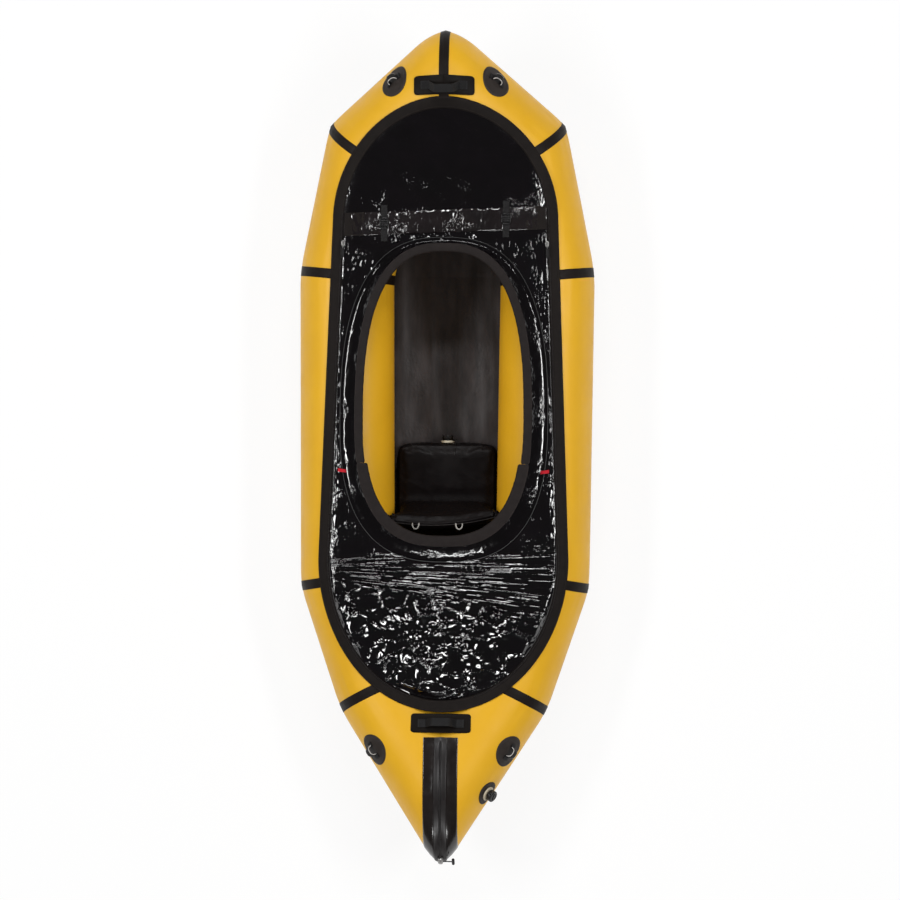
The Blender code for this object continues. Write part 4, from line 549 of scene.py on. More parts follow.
class Maker:
    """Turns grids of points into finished pieces that ride on the frame's bodies."""

    def __init__(self, wardrobe: Wardrobe) -> None:
        """Args: wardrobe: the finishes."""
        self.wardrobe = wardrobe

    @staticmethod
    def piece(name: str, solid: Solid, ink: Ink, body: str = "raft", stands_for: str = "",
              crease: float = 40.0, padded: float | None = None, side: Side = Side.STARBOARD) -> bpy.types.Object:
        """A mesh piece with doubled points merged, faces out, sharp edges kept and a UV map if it has one.

        Args:
            name: piece name.
            solid: vertices (n, 3), lists of vertex numbers, and perhaps the texture place of each vertex.
            ink: finish.
            body: the body it rides on.
            stands_for: the CAD node that it replaces, if any.
            crease: angle in degrees past which an edge is sharp.
            padded: fill of a padded piece, or None; not used.
            side: mirrored to this side from starboard.

        Returns:
            The object.
        """
        points, faces, uv = (*solid, None)[:3]
        mesh = bpy.data.meshes.new(name)
        mesh.from_pydata(mirrored(np.asarray(points, float).reshape(-1, 3), side).tolist(), [], faces)
        work = bmesh.new()
        work.from_mesh(mesh)
        if uv is not None:
            layer = work.loops.layers.uv.new("Map")
            flat = np.asarray(uv, float).reshape(-1, 2)
            for face in work.faces:
                for loop in face.loops:
                    loop[layer].uv = flat[loop.vert.index]
        bmesh.ops.remove_doubles(work, verts=work.verts, dist=1e-6)
        bare = [edge for edge in work.edges if not edge.link_faces]
        bmesh.ops.delete(work, geom=bare, context="EDGES")
        bmesh.ops.recalc_face_normals(work, faces=work.faces)
        work.to_mesh(mesh)
        work.free()
        mesh.shade_smooth()
        mesh.set_sharp_from_angle(angle=math.radians(crease))
        mesh.materials.append(ink.material)
        obj = bpy.data.objects.new(name, mesh)
        bpy.context.scene.collection.objects.link(obj)
        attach(obj, body)
        if stands_for:
            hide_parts(stands_for)
        LOG.info("%s: %d faces", name, len(mesh.polygons))
        return obj

    @staticmethod
    def quads(index: Array) -> Array:
        """The quads between neighbours of a grid of vertex numbers."""
        return np.stack([index[:-1, :-1], index[:-1, 1:], index[1:, 1:], index[1:, :-1]], -1).reshape(-1, 4)

    def slab(self, outer: Array, inner: Array, wrap_rows: bool = False, wrap_cols: bool = False) -> Solid:
        """A closed solid between two like grids, as quads, with a rim along each open border.

        Args:
            outer: grid of points (rows, cols, 3).
            inner: the other side's grid.
            wrap_rows: whether the last row meets the first.
            wrap_cols: whether the last column meets the first.

        Returns:
            The solid.
        """
        rows, cols = outer.shape[:2]
        index = np.arange(rows * cols).reshape(rows, cols)
        if wrap_rows:
            index = np.vstack([index, index[:1]])
        if wrap_cols:
            index = np.hstack([index, index[:, :1]])
        shift = rows * cols
        quads = self.quads(index)
        blocks = [quads, quads[:, ::-1] + shift]
        borders = [] if wrap_rows else [index[0], index[-1][::-1]]
        borders += [] if wrap_cols else [index[:, -1], index[:, 0][::-1]]
        for border in borders:
            a, b = border[:-1], border[1:]
            blocks.append(np.stack([a, a + shift, b + shift, b], -1))
        points = np.concatenate([outer.reshape(-1, 3), inner.reshape(-1, 3)])
        return points, [face for block in blocks for face in block.tolist()]

    def loft(self, sections: Array, closed: bool = False) -> Solid:
        """A solid through closed sections (count, around, 3), ended flat unless it closes on itself."""
        sections = np.asarray(sections)
        count, around = sections.shape[:2]
        index = np.arange(count * around).reshape(count, around)
        index = np.hstack([index, index[:, :1]])
        if closed:
            index = np.vstack([index, index[:1]])
        faces = self.quads(index).tolist()
        if not closed:
            faces += [index[0, :-1].tolist(), index[-1, :-1][::-1].tolist()]
        return sections.reshape(-1, 3), faces

    def turned(self, profile: list[tuple[float, float]], place: Array, axis: Array, sides: int,
               wave: int = 0, depth: float = 0.0, beyond: float = math.inf) -> Solid:
        """A closed profile turned round an axis.

        Args:
            profile: (radius, height) points.
            place: the axis's foot.
            axis: its direction.
            sides: how many steps a full turn has.
            wave: how many dents there are round it.
            depth: points are pulled in by depth * max(0, cos(wave * angle)).
            beyond: radius past which they are.

        Returns:
            The solid.
        """
        axis = unit(np.asarray(axis, float))
        side = unit(np.cross(axis, Y_AXIS if abs(axis[1]) < 0.8 else X_AXIS))
        other = np.cross(axis, side)
        shape = np.array(profile)
        angle = full_turn(sides)
        pull = np.where(shape[:, 0] > beyond, depth, 0.0) * np.maximum(0.0, np.cos(wave * angle))[:, None]
        radius = shape[:, 0] - pull
        spoke = np.cos(angle)[:, None] * side + np.sin(angle)[:, None] * other
        return self.loft(np.asarray(place) + radius[..., None] * spoke[:, None] + shape[:, 1][None, :, None] * axis,
                         closed=True)

    def swept(self, path: Array, side: Array, section: Array) -> Solid:
        """A (side, normal) section carried along an open flat path, with UV in metres along and across it."""
        normal = unit(np.cross(unit(np.gradient(path, axis=0)), side))
        rings = path[:, None] + section[:, :1] * side + section[:, 1:] * normal[:, None]
        return *self.loft(rings), crossed(walk(path), section[:, 0])

    def cable(self, path: Array, radius: float, sides: int = 10, closed: bool = False) -> Solid:
        """A round cord along any path; its frame is carried from point to point without twist."""
        tangent = unit(np.gradient(path, axis=0))
        start = Z_AXIS if abs(tangent[0, 2]) < 0.8 else X_AXIS
        normal = unit(start - tangent[0] * (start @ tangent[0]))
        normals = []
        for t in tangent:
            normal = unit(normal - t * (normal @ t))
            normals.append(normal)
        normals = np.array(normals)
        other = np.cross(tangent, normals)
        angle = full_turn(sides)
        rings = path[:, None] + radius * (np.cos(angle)[:, None] * normals[:, None]
                                          + np.sin(angle)[:, None] * other[:, None])
        return *self.loft(rings, closed), crossed(walk(path), radius * angle)

    @staticmethod
    def rounded(width: float, length: float, count: int = 16, power: float = 5.0, shift: float = 0.5) -> Array:
        """Points of a rectangle with rounded corners: a superellipse of that width, length and power."""
        x, y = squared(full_turn(count, shift), 2 / power)
        return np.column_stack([width / 2 * x, length / 2 * y])

    @staticmethod
    def copies(solid: Solid, places: Array, frames: Array) -> Solid:
        """Copies of a small mesh: each point's (a, b, c) becomes place + a x + b y + c z of that place's frame."""
        points, faces = solid
        spread = places[:, None] + np.einsum("pc,kcd->kpd", points, frames)
        shift = len(points)
        table = [[v + shift * k for v in face] for k in range(len(places)) for face in faces]
        return spread.reshape(-1, 3), table

    def blocks(self, size: tuple[float, float, float], places: Array, frames: Array) -> Solid:
        """Blocks of one size that stand on places, each in that place's frame."""
        corners = np.array([[x, y, z] for x in (-0.5, 0.5) for y in (-0.5, 0.5) for z in (0.0, 1.0)])
        faces = [[0, 1, 3, 2], [4, 6, 7, 5], [0, 4, 5, 1], [2, 3, 7, 6], [1, 5, 7, 3], [0, 2, 6, 4]]
        return self.copies((corners * np.array(size), faces), np.asarray(places), np.asarray(frames))


@dataclass(frozen=True)
class Site:
    """A place on a panel's tube, `along` it from one of its seams and leaning outboard from its top by degrees."""

    panel: int
    seam: int
    along: float
    lean: float


@dataclass
class RaftForm:
    """Sizes and surfaces of the inflated ring and of what lies on it, the same as the solids'."""

    length: float = 2.585
    beam: float = 0.910
    radius: float = 0.145
    level: float = 0.1472
    along_shares: tuple[float, ...] = (1.0, 0.772, 0.423, -0.331, -0.6235, -1.0)
    abreast_shares: tuple[float, ...] = (0.0, 0.797, 1.0, 0.980, 0.698, 0.0)
    rises: tuple[float, ...] = (0.160, 0.030, 0.0, 0.0, 0.020, 0.080)
    draws: tuple[float, ...] = (0.035, 0.004, 0.004, 0.004, 0.004, 0.036)
    blends: tuple[float, ...] = (0.095, 0.050, 0.050, 0.050, 0.050, 0.0525)
    zip_radius: float = 0.300
    bow_setback: float = 0.052
    stern_setback: float = 0.229
    bow_lap: float = 0.066
    stern_lap: float = 0.080
    bow_round: float = 0.362
    stern_round: float = 0.460
    cleft: float = 0.091
    hub: float = 0.1625
    cockpit_half: float = 0.242
    cockpit_middle: float = 0.090
    cockpit_fore: float = 0.505
    cockpit_aft: float = 0.360
    cockpit_power: float = 2.6
    band_middle: float = 0.690
    band_skew: float = 0.026
    band_length: float = 0.070

    def __post_init__(self) -> None:
        """Works out the tube's axis, frames and the deck's main places."""
        outline = np.column_stack([np.array(self.abreast_shares) * self.beam / 2,
                                   np.array(self.along_shares) * self.length / 2])
        run = unit(np.diff(outline, axis=0))
        inward = np.column_stack([run[:, 1], -run[:, 0]])
        flip = np.array([-1.0, 1.0])
        before = np.vstack([inward[:1] * flip, inward])
        after = np.vstack([inward, inward[-1:] * flip])
        lean = 1 + np.sum(before * after, axis=1, keepdims=True)
        flat = outline + self.radius * (before + after) / lean
        axis = np.column_stack([flat, self.level + np.array(self.rises)])
        runs = unit(np.diff(axis, axis=0))
        middle = unit(runs[:-1] + runs[1:])
        seams = np.vstack([X_AXIS, middle, -X_AXIS])
        self.axis = axis
        self.run = runs
        self.seam = seams
        self.last = len(axis) - 1
        out = np.zeros((len(runs), 3))
        up = np.zeros((len(runs), 3))
        out[2] = unit(np.cross(Z_AXIS, runs[2]))
        up[2] = np.cross(runs[2], out[2])
        for panel, near, seam in ((3, 2, 3), (4, 3, 4), (1, 2, 2), (0, 1, 1)):
            normal = seams[seam]
            for frames in (out, up):
                frames[panel] = frames[near] - 2 * np.dot(frames[near], normal) * normal
        self.out = out
        self.up = up
        self.zip_centre = self._zip_centre()
        self.bow_end = axis[0, 1] - self.bow_setback
        self.stern_end = axis[-1, 1] + self.stern_setback
        self.bow_centre = self.bow_end - self.bow_round
        self.stern_centre = self.stern_end + self.stern_round
        self.bow_half = float(self.axis_at(self.bow_centre)) + self.bow_lap
        self.stern_half = float(self.axis_at(self.stern_centre)) + self.stern_lap

    def mitre(self, panel: int, seam: int, layer: float, angles: Array) -> Array:
        """A panel's cylinder, moved out by a layer, cut by a seam's plane."""
        spoke = (self.radius + layer) * (np.outer(np.cos(angles), self.out[panel])
                                         + np.outer(np.sin(angles), self.up[panel]))
        slip = spoke @ self.seam[seam] / (self.run[panel] @ self.seam[seam])
        return self.axis[seam] + spoke - np.outer(slip, self.run[panel])

    def _zip_centre(self) -> Array:
        """Centre (y, z) of the cargo zip's round path: equal distances to the stern's tip and top."""
        ring = self.mitre(self.last - 1, self.last, 0.0, np.array([0.0, math.pi / 2]))
        reach = np.linalg.norm(ring[0] - self.axis[-1])
        tip = self.axis[-1] + (ring[0] - self.axis[-1]) * (1 - self.draws[-1] / reach)
        tip, top = tip[1:], ring[1][1:]
        half = np.linalg.norm(top - tip) / 2
        chord = top - tip
        across = unit(np.array([chord[1], -chord[0]]))
        return (tip + top) / 2 + across * math.sqrt(self.zip_radius**2 - half**2)

    def drawn(self, panel: int, seam: int, layer: float, angles: Array) -> Array:
        """The seam's ring with its outer side drawn in, and round in side view over the stern."""
        ideal = self.mitre(panel, seam, layer, angles)
        spoke = self.mitre(panel, seam, 0.0, np.array([0.0]))[0] - self.axis[seam]
        reach = np.linalg.norm(spoke)
        along = (ideal - self.axis[seam]) @ (spoke / reach)
        pull = np.where(along > 0, along * self.draws[seam] / reach, 0.0)
        ring = ideal - np.outer(pull, spoke / reach)
        if seam == self.last:
            off = ring[:, 1] - self.zip_centre[0]
            arc = self.zip_centre[1] + np.sqrt(np.maximum((self.zip_radius + layer) ** 2 - off**2, 0.0))
            upper = np.sin(angles) > -1e-6
            ring[:, 2] = np.where(upper & (along > 0), arc, ring[:, 2])
            ring[:, 2] = np.where(upper & (along <= 0), np.maximum(arc, ring[:, 2]), ring[:, 2])
        return ring

    def ring(self, panel: int, seam: int, away: float, layer: float, angles: Array) -> Array:
        """Ring of a panel near a seam, whose draw fades as (1 - away / blend)^2.

        Args:
            panel: number of the panel.
            seam: number of the seam.
            away: distance from the seam's plane.
            layer: distance out from the tube.
            angles: places round the tube, from outboard over its top.

        Returns:
            The ring's points.
        """
        ideal = self.mitre(panel, seam, layer, angles)
        sign = 1.0 if seam == panel else -1.0
        step = away / abs(self.run[panel] @ self.seam[seam])
        fade = max(0.0, 1 - away / self.blends[seam]) ** 2
        return ideal + sign * step * self.run[panel] + fade * (self.drawn(panel, seam, layer, angles) - ideal)

    def over(self, x: Array, y: Array, layer: float = 0.0) -> tuple[Array, Array]:
        """Height of the mitred tubes over plan points.

        Args:
            x: distances from the middle plane.
            y: places along the hull.
            layer: distance out from the tubes.

        Returns:
            The heights, -1 off the tubes, and the upward share of the tubes' normals, 0.3 at least.
        """
        x, y = np.broadcast_arrays(np.abs(np.asarray(x, float)), np.asarray(y, float))
        plan = np.stack([x, y, np.zeros_like(x)], -1)
        best = np.full(x.shape, -1.0)
        rise = np.ones(x.shape)
        for panel, run in enumerate(self.run):
            rel = plan - self.axis[panel]
            flat = rel - (rel @ run)[..., None] * run
            lift = Z_AXIS - run[2] * run
            half = flat @ lift
            square = half**2 - (lift @ lift) * (np.sum(flat**2, -1) - (self.radius + layer) ** 2)
            height = (-half + np.sqrt(np.maximum(square, 0.0))) / (lift @ lift)
            point = plan.copy()
            point[..., 2] = height
            inside = (square >= 0) & ((point - self.axis[panel]) @ self.seam[panel] >= -1e-6)
            inside &= (point - self.axis[panel + 1]) @ self.seam[panel + 1] <= 1e-6
            better = inside & (height > best)
            rel = point - self.axis[panel]
            spoke = unit(rel - (rel @ run)[..., None] * run)
            best = np.where(better, height, best)
            rise = np.where(better, spoke[..., 2], rise)
        return best, np.maximum(rise, 0.3)

    def axis_at(self, y: Array) -> Array:
        """Distance of the tube's axis from the middle plane at a place along the hull."""
        return np.interp(-np.asarray(y, float), -self.axis[:, 1], self.axis[:, 0])

    def taut(self, y: Array) -> Array:
        """Height of the tubes' tops at a place along the hull."""
        y = np.clip(y, self.axis[-1, 1] + 0.0003, self.axis[0, 1] - 0.0003)
        return self.over(np.maximum(self.axis_at(y), 0.0003), y)[0]

    def sheet(self, x: Array, y: Array) -> Array:
        """Height of a taut sheet: level between the tubes' tops, then down over the tube."""
        rest = self.over(x, y)[0]
        return np.where(np.abs(x) < self.axis_at(y), np.maximum(self.taut(y), rest), rest)

    def bridged(self, x: Array, y: Array, layer: float) -> Array:
        """Height of a strip on the tubes by a layer, which spans the cleft between them at either end."""
        span, lean = self.over(np.maximum(np.abs(x), self.cleft), y)
        rest, slope = self.over(x, y)
        return np.maximum(span + layer / lean, rest + layer / slope)

    def outline(self, inset: float, count: int = 240) -> Array:
        """Closed plan curve of the deck, evenly spaced: half ellipses joined by straight sides."""
        turn = np.linspace(0.0, math.pi, 200)
        bow = np.column_stack([(self.bow_half - inset) * np.cos(turn),
                               self.bow_centre + (self.bow_round - inset) * np.sin(turn)])
        stern = np.column_stack([-(self.stern_half - inset) * np.cos(turn),
                                 self.stern_centre - (self.stern_round - inset) * np.sin(turn)])
        return self.even(np.vstack([bow, stern]), count)

    @staticmethod
    def even(curve: Array, count: int) -> Array:
        """A closed curve's points at equal walked distances."""
        loop = np.vstack([curve, curve[:1]])
        return places_at(loop, np.arange(count) * walk(loop)[-1] / count)

    def cockpit(self, grow: float, ends: float | None = None) -> Array:
        """Dense plan curve of the cockpit's inner edge, |x/a|^2.6 + |y/b|^2.6 = 1 round its middle.

        Args:
            grow: how far it is grown outwards.
            ends: the same at its front end, if that differs.

        Returns:
            Plan points.
        """
        c, s = squared(np.linspace(0.0, math.tau, 720, endpoint=False), 2 / self.cockpit_power)
        reach = np.where(s > 0, self.cockpit_fore + (grow if ends is None else ends), self.cockpit_aft + grow)
        return np.column_stack([(self.cockpit_half + grow) * c, self.cockpit_middle + reach * s])

    def by_bearing(self, curve: Array, bearings: Array) -> Array:
        """Where rays from the cockpit's hub cross a plan curve."""
        rel = self.even(curve[np.argsort(np.arctan2(curve[:, 1] - self.hub, curve[:, 0]))], 4000)
        rel = rel - np.array([0.0, self.hub])
        angle = np.arctan2(rel[:, 1], rel[:, 0])
        order = np.argsort(angle)
        angle, reach = angle[order], np.linalg.norm(rel[order], axis=1)
        angle = np.concatenate([angle - math.tau, angle, angle + math.tau])
        wrapped = (np.asarray(bearings) + math.pi) % math.tau - math.pi
        radius = np.interp(wrapped, angle, np.tile(reach, 3))
        return np.column_stack([radius * np.cos(bearings), self.hub + radius * np.sin(bearings)])

    def bearings(self, count: int) -> Array:
        """Bearings that share the deck's outline out into equal lengths."""
        curve = self.outline(0.0, count)
        return np.sort(np.arctan2(curve[:, 1] - self.hub, curve[:, 0]))

    def band_line(self, x: Array, forward: float) -> Array:
        """Place along the hull of the deck band's edges, which run slightly askew."""
        skew = self.band_skew * np.asarray(x) / (2 * self.bow_half)
        return self.band_middle + skew + (forward - 0.5) * self.band_length

    def half_at(self, y: Array, inset: float) -> Array:
        """Half the breadth of the deck's outline at a place along the hull."""
        curve = self.outline(inset, 1600)
        curve = curve[curve[:, 0] >= 0]
        curve = curve[np.argsort(curve[:, 1])]
        return np.interp(y, curve[:, 1], curve[:, 0])

    def strings(self, inner: Array, outer: Array, start: Array, end: Array, steps: int) -> tuple[Array, Array]:
        """Strings pulled taut over the tubes between two rows of plan points.

        Each height is the largest, over all pairs of samples on either side, of the straight line between them.

        Args:
            inner: where the strings start.
            outer: where they end.
            start: their heights at the start.
            end: their heights at the end.
            steps: samples on each string.

        Returns:
            Plan points (strings, steps, 2) and heights (strings, steps).
        """
        shares = np.linspace(0.0, 1.0, steps)
        plan = inner[:, None] + shares[:, None] * (outer - inner)[:, None]
        height = self.bridged(plan[..., 0], plan[..., 1], 0.0)
        height[:, 0] = start
        height[:, -1] = end
        result = np.empty_like(height)
        for k in range(steps):
            span = shares[k:] - shares[: k + 1, None]
            part = (shares[k] - shares[: k + 1, None]) / np.where(span > 0, span, 1.0)
            before, after = height[:, : k + 1, None], height[:, None, k:]
            result[:, k] = (before + (after - before) * part).max(axis=(1, 2))
        return plan, result

    def on_tube(self, site: Site, t: Array, s: Array, layer: Array) -> Array:
        """Points near a place on a panel's tube.

        Args:
            site: the place.
            t: offsets along the tube.
            s: offsets round it, outboard.
            layer: offsets out from it.

        Returns:
            The points.
        """
        sign = 1.0 if site.seam == site.panel else -1.0
        angle = math.pi / 2 - math.radians(site.lean) - np.asarray(s) / self.radius
        place = self.axis[site.seam] + (sign * site.along + np.asarray(t))[..., None] * self.run[site.panel]
        spoke = np.cos(angle)[..., None] * self.out[site.panel] + np.sin(angle)[..., None] * self.up[site.panel]
        return place + (self.radius + np.asarray(layer))[..., None] * spoke

    def spot(self, site: Site, layer: float) -> tuple[Array, Array, Array]:
        """Point out from a place by a layer, and the tube's normal and the direction round it there."""
        zero = np.zeros(1)
        place, foot, far = (self.on_tube(site, zero, zero, zero + out)[0] for out in (layer, 0.0, self.radius))
        normal = unit(far - foot)
        return place, normal, np.cross(self.run[site.panel], normal)

    def rows(self, panel: int, layer: float, angles: Array, near: int = 12, between: int = 14,
             gap: float = 0.0003) -> Array:
        """Dense rings of a panel: close together by its two seams, evenly spaced between.

        Args:
            panel: number of the panel.
            layer: distance out from the tube.
            angles: places round the tube.
            near: rings by each seam.
            between: rings between those.
            gap: distance of the end rings from the seams' planes.

        Returns:
            Grid of points (rings, angles, 3).
        """
        shares = np.linspace(0.0, 1.0, near) ** 1.4
        ends = []
        for seam in (panel, panel + 1):
            aways = gap + shares * (self.blends[seam] - gap)
            ends.append(np.array([self.ring(panel, seam, away, layer, angles) for away in aways]))
        step = np.linspace(0.0, 1.0, between + 2)[1:-1, None, None]
        middle = ends[0][-1] + step * (ends[1][-1] - ends[0][-1])
        return np.concatenate([ends[0], middle, ends[1][::-1]])


@dataclass(frozen=True)
class Hull:
    """The inflated ring: ten panels, their seam tapes and the floor."""

    around: int = 112
    wall: float = 0.001
    pucker: float = 0.0011
    pucker_reach: float = 0.032
    tape_width: float = 0.030
    tape_top: float = 0.0011
    floor_lap: float = 36.0
    floor_columns: int = 90
    floor_layers: tuple[float, float] = (0.0012, 0.0022)
    names: tuple[str, ...] = ("bow", "bow_quarter", "side", "stern_quarter", "stern")

    def build(self, make: Maker, form: RaftForm) -> None:
        """Adds the panels, tapes and floor."""
        self.panels(make, form)
        self.tapes(make, form)
        self.floor(make, form)

    def panels(self, make: Maker, form: RaftForm) -> None:
        """Each panel with small puckers where its ends are drawn in by the seams."""
        angles = full_turn(self.around)
        rng = np.random.RandomState(11)
        for panel, name in enumerate(self.names):
            for side in Side:
                grid = form.rows(panel, 0.0, angles)
                fore = np.linalg.norm(grid - grid[:1], axis=-1)
                aft = np.linalg.norm(grid - grid[-1:], axis=-1)
                inward = unit(grid.mean(axis=1, keepdims=True) - grid)
                for away in (fore, aft):
                    wave = np.zeros(self.around)
                    for count in (9, 14, 23, 31):
                        wave += rng.uniform(0.5, 1.0) * np.sin(count * angles + rng.uniform(0, math.tau))
                    dent = self.pucker * np.maximum(wave / 2, 0.0) * (away / self.pucker_reach)
                    grid = grid + inward * (dent * np.exp(1 - away / self.pucker_reach))[..., None]
                make.piece(f"{name}_panel_{side.label}", make.slab(grid, grid + self.wall * inward, wrap_cols=True),
                           make.wardrobe.hull, stands_for=f"hull_{name}_{side.label}", crease=60, side=side)

    def tapes(self, make: Maker, form: RaftForm) -> None:
        """A tape round each seam, thinner at its edges and raised along the joint beneath.

        The bow's seam lies in the middle plane, so the other half of its tape is the mirrored one.
        """
        angles = full_turn(self.around)
        shares = np.array([-1.0, -0.96, -0.6, -0.12, 0.0, 0.12, 0.6, 0.96, 1.0])
        layers = np.array([0.3, 0.85, 0.9, 1.15, 1.45, 1.15, 0.9, 0.85, 0.3]) * self.tape_top
        names = {1: "bow_quarter_tape", 2: "front_side_tape", 3: "rear_side_tape", 4: "stern_quarter_tape",
                 0: "bow_tape"}
        half = self.tape_width / 2
        for seam, name in names.items():
            outer, inner = [], []
            for s, layer in zip(shares, layers):
                for rows, out in ((outer, layer), (inner, 0.0001)):
                    row = form.ring(seam - 1 if s < 0 < seam else seam, seam, abs(s) * half, out, angles)
                    rows.append(mirrored(row) if s < 0 == seam else row)
            solid = make.slab(np.array(outer), np.array(inner), wrap_cols=True)
            for label, side in [(f"{name}_{side.label}", side) for side in Side] if seam else [(name, Side.STARBOARD)]:
                make.piece(f"{label}_dressed", solid, make.wardrobe.tape, stands_for=label, crease=60, side=side)

    def floor(self, make: Maker, form: RaftForm) -> None:
        """The floor, with soft lengthwise folds between the tubes, level under the seat."""
        lap = math.radians(self.floor_lap)
        angles = -math.pi / 2 + np.linspace(lap, 0.0, 10)
        step = np.linspace(0.0, 1.0, self.floor_columns + 2)[1:-1, None]
        grids = []
        for layer in self.floor_layers:
            half = [form.rows(panel, layer, angles, near=8, between=26 if panel == 2 else 8)
                    for panel in range(form.last)]
            grid = np.concatenate([half[0][2:], *half[1:-1], half[-1][:-2]])
            other = mirrored(grid)[:, ::-1]
            across = grid[:, -1:] + step[None] * (other[:, :1] - grid[:, -1:])
            grids.append(np.concatenate([grid, across, other], axis=1))
        x, y = grids[0][..., 0], grids[0][..., 1]
        ripple = Ripple(5)
        free = ease((form.axis_at(y) - 0.05 - np.abs(x)) / 0.12)
        seat = ease((0.165 - np.abs(x)) / 0.03) * ease((0.030 - y) / 0.03) * ease((y + 0.245) / 0.03)
        folds = 0.0070 * ripple.creases(x, y * 0.2, 0.120, 0.0, 0.25, 5, 1.1)
        folds += 0.0080 * ripple.facets(x, y * 0.6, 0.130)
        folds += 0.0010 * ripple.creases(x, y, 0.045, 0.6, 1.2, 5, 2.0)
        lift = (free * (1 - seat) * folds)[..., None] * Z_AXIS
        points, faces = make.slab(grids[0] + lift, grids[1] + lift)
        points[:, 2] = np.maximum(points[:, 2], 0.0)
        floor = make.piece("floor_sheet", (points, faces), make.wardrobe.floor, stands_for="floor")


@dataclass(frozen=True)
class Deck:
    """The spray deck: edge strip with its zip, fore deck, closing band, main deck and collar."""

    strip_width: float = 0.041
    inset: float = 0.036
    lift: float = 0.0066
    rays: int = 580
    steps: int = 84
    zip_inset: float = 0.0295
    tooth: tuple[float, float, float] = (0.0024, 0.0042, 0.0016)
    hem_spread: float = 0.036
    front_spread: float = 0.008
    tuck: float = 0.006
    hem_width: float = 0.010

    def build(self, make: Maker, form: RaftForm) -> None:
        """Adds every part of the deck."""
        self.edge_strip(make, form)
        self.deck_zip(make, form)
        self.fore_deck(make, form)
        self.band(make, form)
        self.main_deck(make, form)
        self.collar(make, form)
        self.tabs(make, form)

    def film(self, make: Maker, name: str, plan: Array, height: Array, ink: Ink, stands_for: str,
             flat: tuple[float, float], wrap: bool = False, uv: Array | None = None, thick: float = 0.0010,
             area: float | None = None) -> None:
        """A sheet declared as stretched fabric.

        Args:
            make: makes the piece.
            name: piece name.
            plan: grid of plan points.
            height: height of each point.
            ink: finish.
            stands_for: the CAD node that it replaces, if any.
            flat: flat size, length by width; not used.
            wrap: whether the last row meets the first.
            uv: texture place of each point, in metres.
            thick: thickness, downwards.
            area: flat area, where it isn't the flat size's; not used.
        """
        top = np.concatenate([plan, height[..., None]], -1)
        double = None if uv is None else np.concatenate([uv.reshape(-1, 2)] * 2)
        solid = (*make.slab(top, top - thick * Z_AXIS, wrap_rows=wrap), double)
        obj = make.piece(name, solid, ink, stands_for=stands_for, crease=75)

    def foot_spreads(self) -> tuple[float, float]:
        """How far the collar's foot lies outside the cockpit's edge, at its sides and at its front end."""
        return Coaming.width + self.hem_spread, Coaming.width + self.front_spread

    def edge_strip(self, make: Maker, form: RaftForm) -> None:
        """The strip glued to the tubes, which carries the outer half of the zip; stitched along both edges."""
        bearings = form.bearings(540)
        shares = np.array([0.0, 0.02, 0.35, 0.6, 0.98, 1.0])
        lines = [form.by_bearing(form.outline(share * self.strip_width), bearings) for share in shares]
        plan = np.stack(lines, 1)
        x, y = plan[..., 0], plan[..., 1]
        rise = np.array([-0.0008, 0.0, 0.0003, 0.0002, 0.0, -0.0006])
        height = form.bridged(x, y, 0.0031) + rise
        height += np.where(x > 0, 0.0016, 0.0007) * Ripple(31).creases(x, y, 0.035, 0.9, 0.5, 4)
        uv = crossed(walk(lines[0]), shares * self.strip_width)
        self.film(make, "edge_strip", plan, height, make.wardrobe.strip, "base_strip", (5.05, self.strip_width),
                  True, uv)

    def deck_zip(self, make: Maker, form: RaftForm) -> None:
        """Zip teeth in pairs along the deck's edge on both sides, from the band to the quarters."""
        curve = form.outline(self.zip_inset, 1100)
        keep = (curve[:, 1] < form.band_line(curve[:, 0], 1.0)) & (np.abs(curve[:, 0]) > 0.10)
        curve = curve[keep]
        step = np.roll(curve, -1, axis=0) - np.roll(curve, 1, axis=0)
        run = unit(np.column_stack([step, np.zeros(len(step))]))
        height = form.bridged(curve[:, 0], curve[:, 1], 0.0034)
        place = np.column_stack([curve, height])
        up = np.broadcast_to(Z_AXIS, run.shape)
        frames = np.stack([run, np.cross(up, run), up], 1)
        make.piece("deck_zip_teeth", make.blocks(self.tooth, place, frames), make.wardrobe.teeth)

    def fore_deck(self, make: Maker, form: RaftForm) -> None:
        """The taut fore deck, with fine creases that fan out from the bow."""
        curve = form.outline(self.inset, 2400)
        upper = curve[curve[:, 1] > form.band_line(curve[:, 0], 1.0) - self.tuck]
        order = np.argsort(np.arctan2(upper[:, 1] - form.bow_centre, upper[:, 0]))
        rim = upper[order][np.linspace(0, len(upper) - 1, 181).round().astype(int)]
        for end in (0, -1):
            rim[end, 1] = form.band_line(rim[end, 0], 1.0) - self.tuck
        shares = np.linspace(-1.0, 1.0, 181)
        hub = np.column_stack([-shares * 0.02, form.band_line(-shares * 0.02, 1.0) - self.tuck])
        end = form.bridged(rim[:, 0], rim[:, 1], 0.0)
        plan, height = form.strings(hub, rim, form.taut(hub[:, 1]), end, 72)
        x, y = plan[..., 0], plan[..., 1]
        ripple = Ripple(17)
        edge = ease(np.linspace(1.0, 0.0, 72) / 0.08)[None]
        off = 0.0007 * ripple.creases(x, y, 0.060, 1.2, 0.7, 6, 3.0)
        bow = ease((y - 0.86) / 0.12) * np.exp(-((x - 0.045) / 0.09) ** 2)
        near = ease((0.80 - y) / 0.06) * ease((x - 0.02) / 0.05)
        off += bow * 0.0060 * ripple.creases(x, y, 0.030, 0.4, 1.1, 6, 2.4)
        off += near * 0.0035 * ripple.creases(x, y * 0.35, 0.040, 0.1, 0.5, 6, 2.6)
        off *= ease((y - form.band_line(x, 1.0) - 0.002) / 0.012)
        height = height + self.lift + 0.0006 + edge * off
        self.film(make, "fore_deck_film", plan, height, make.wardrobe.fore, "fore_deck", (0.62, 0.31))

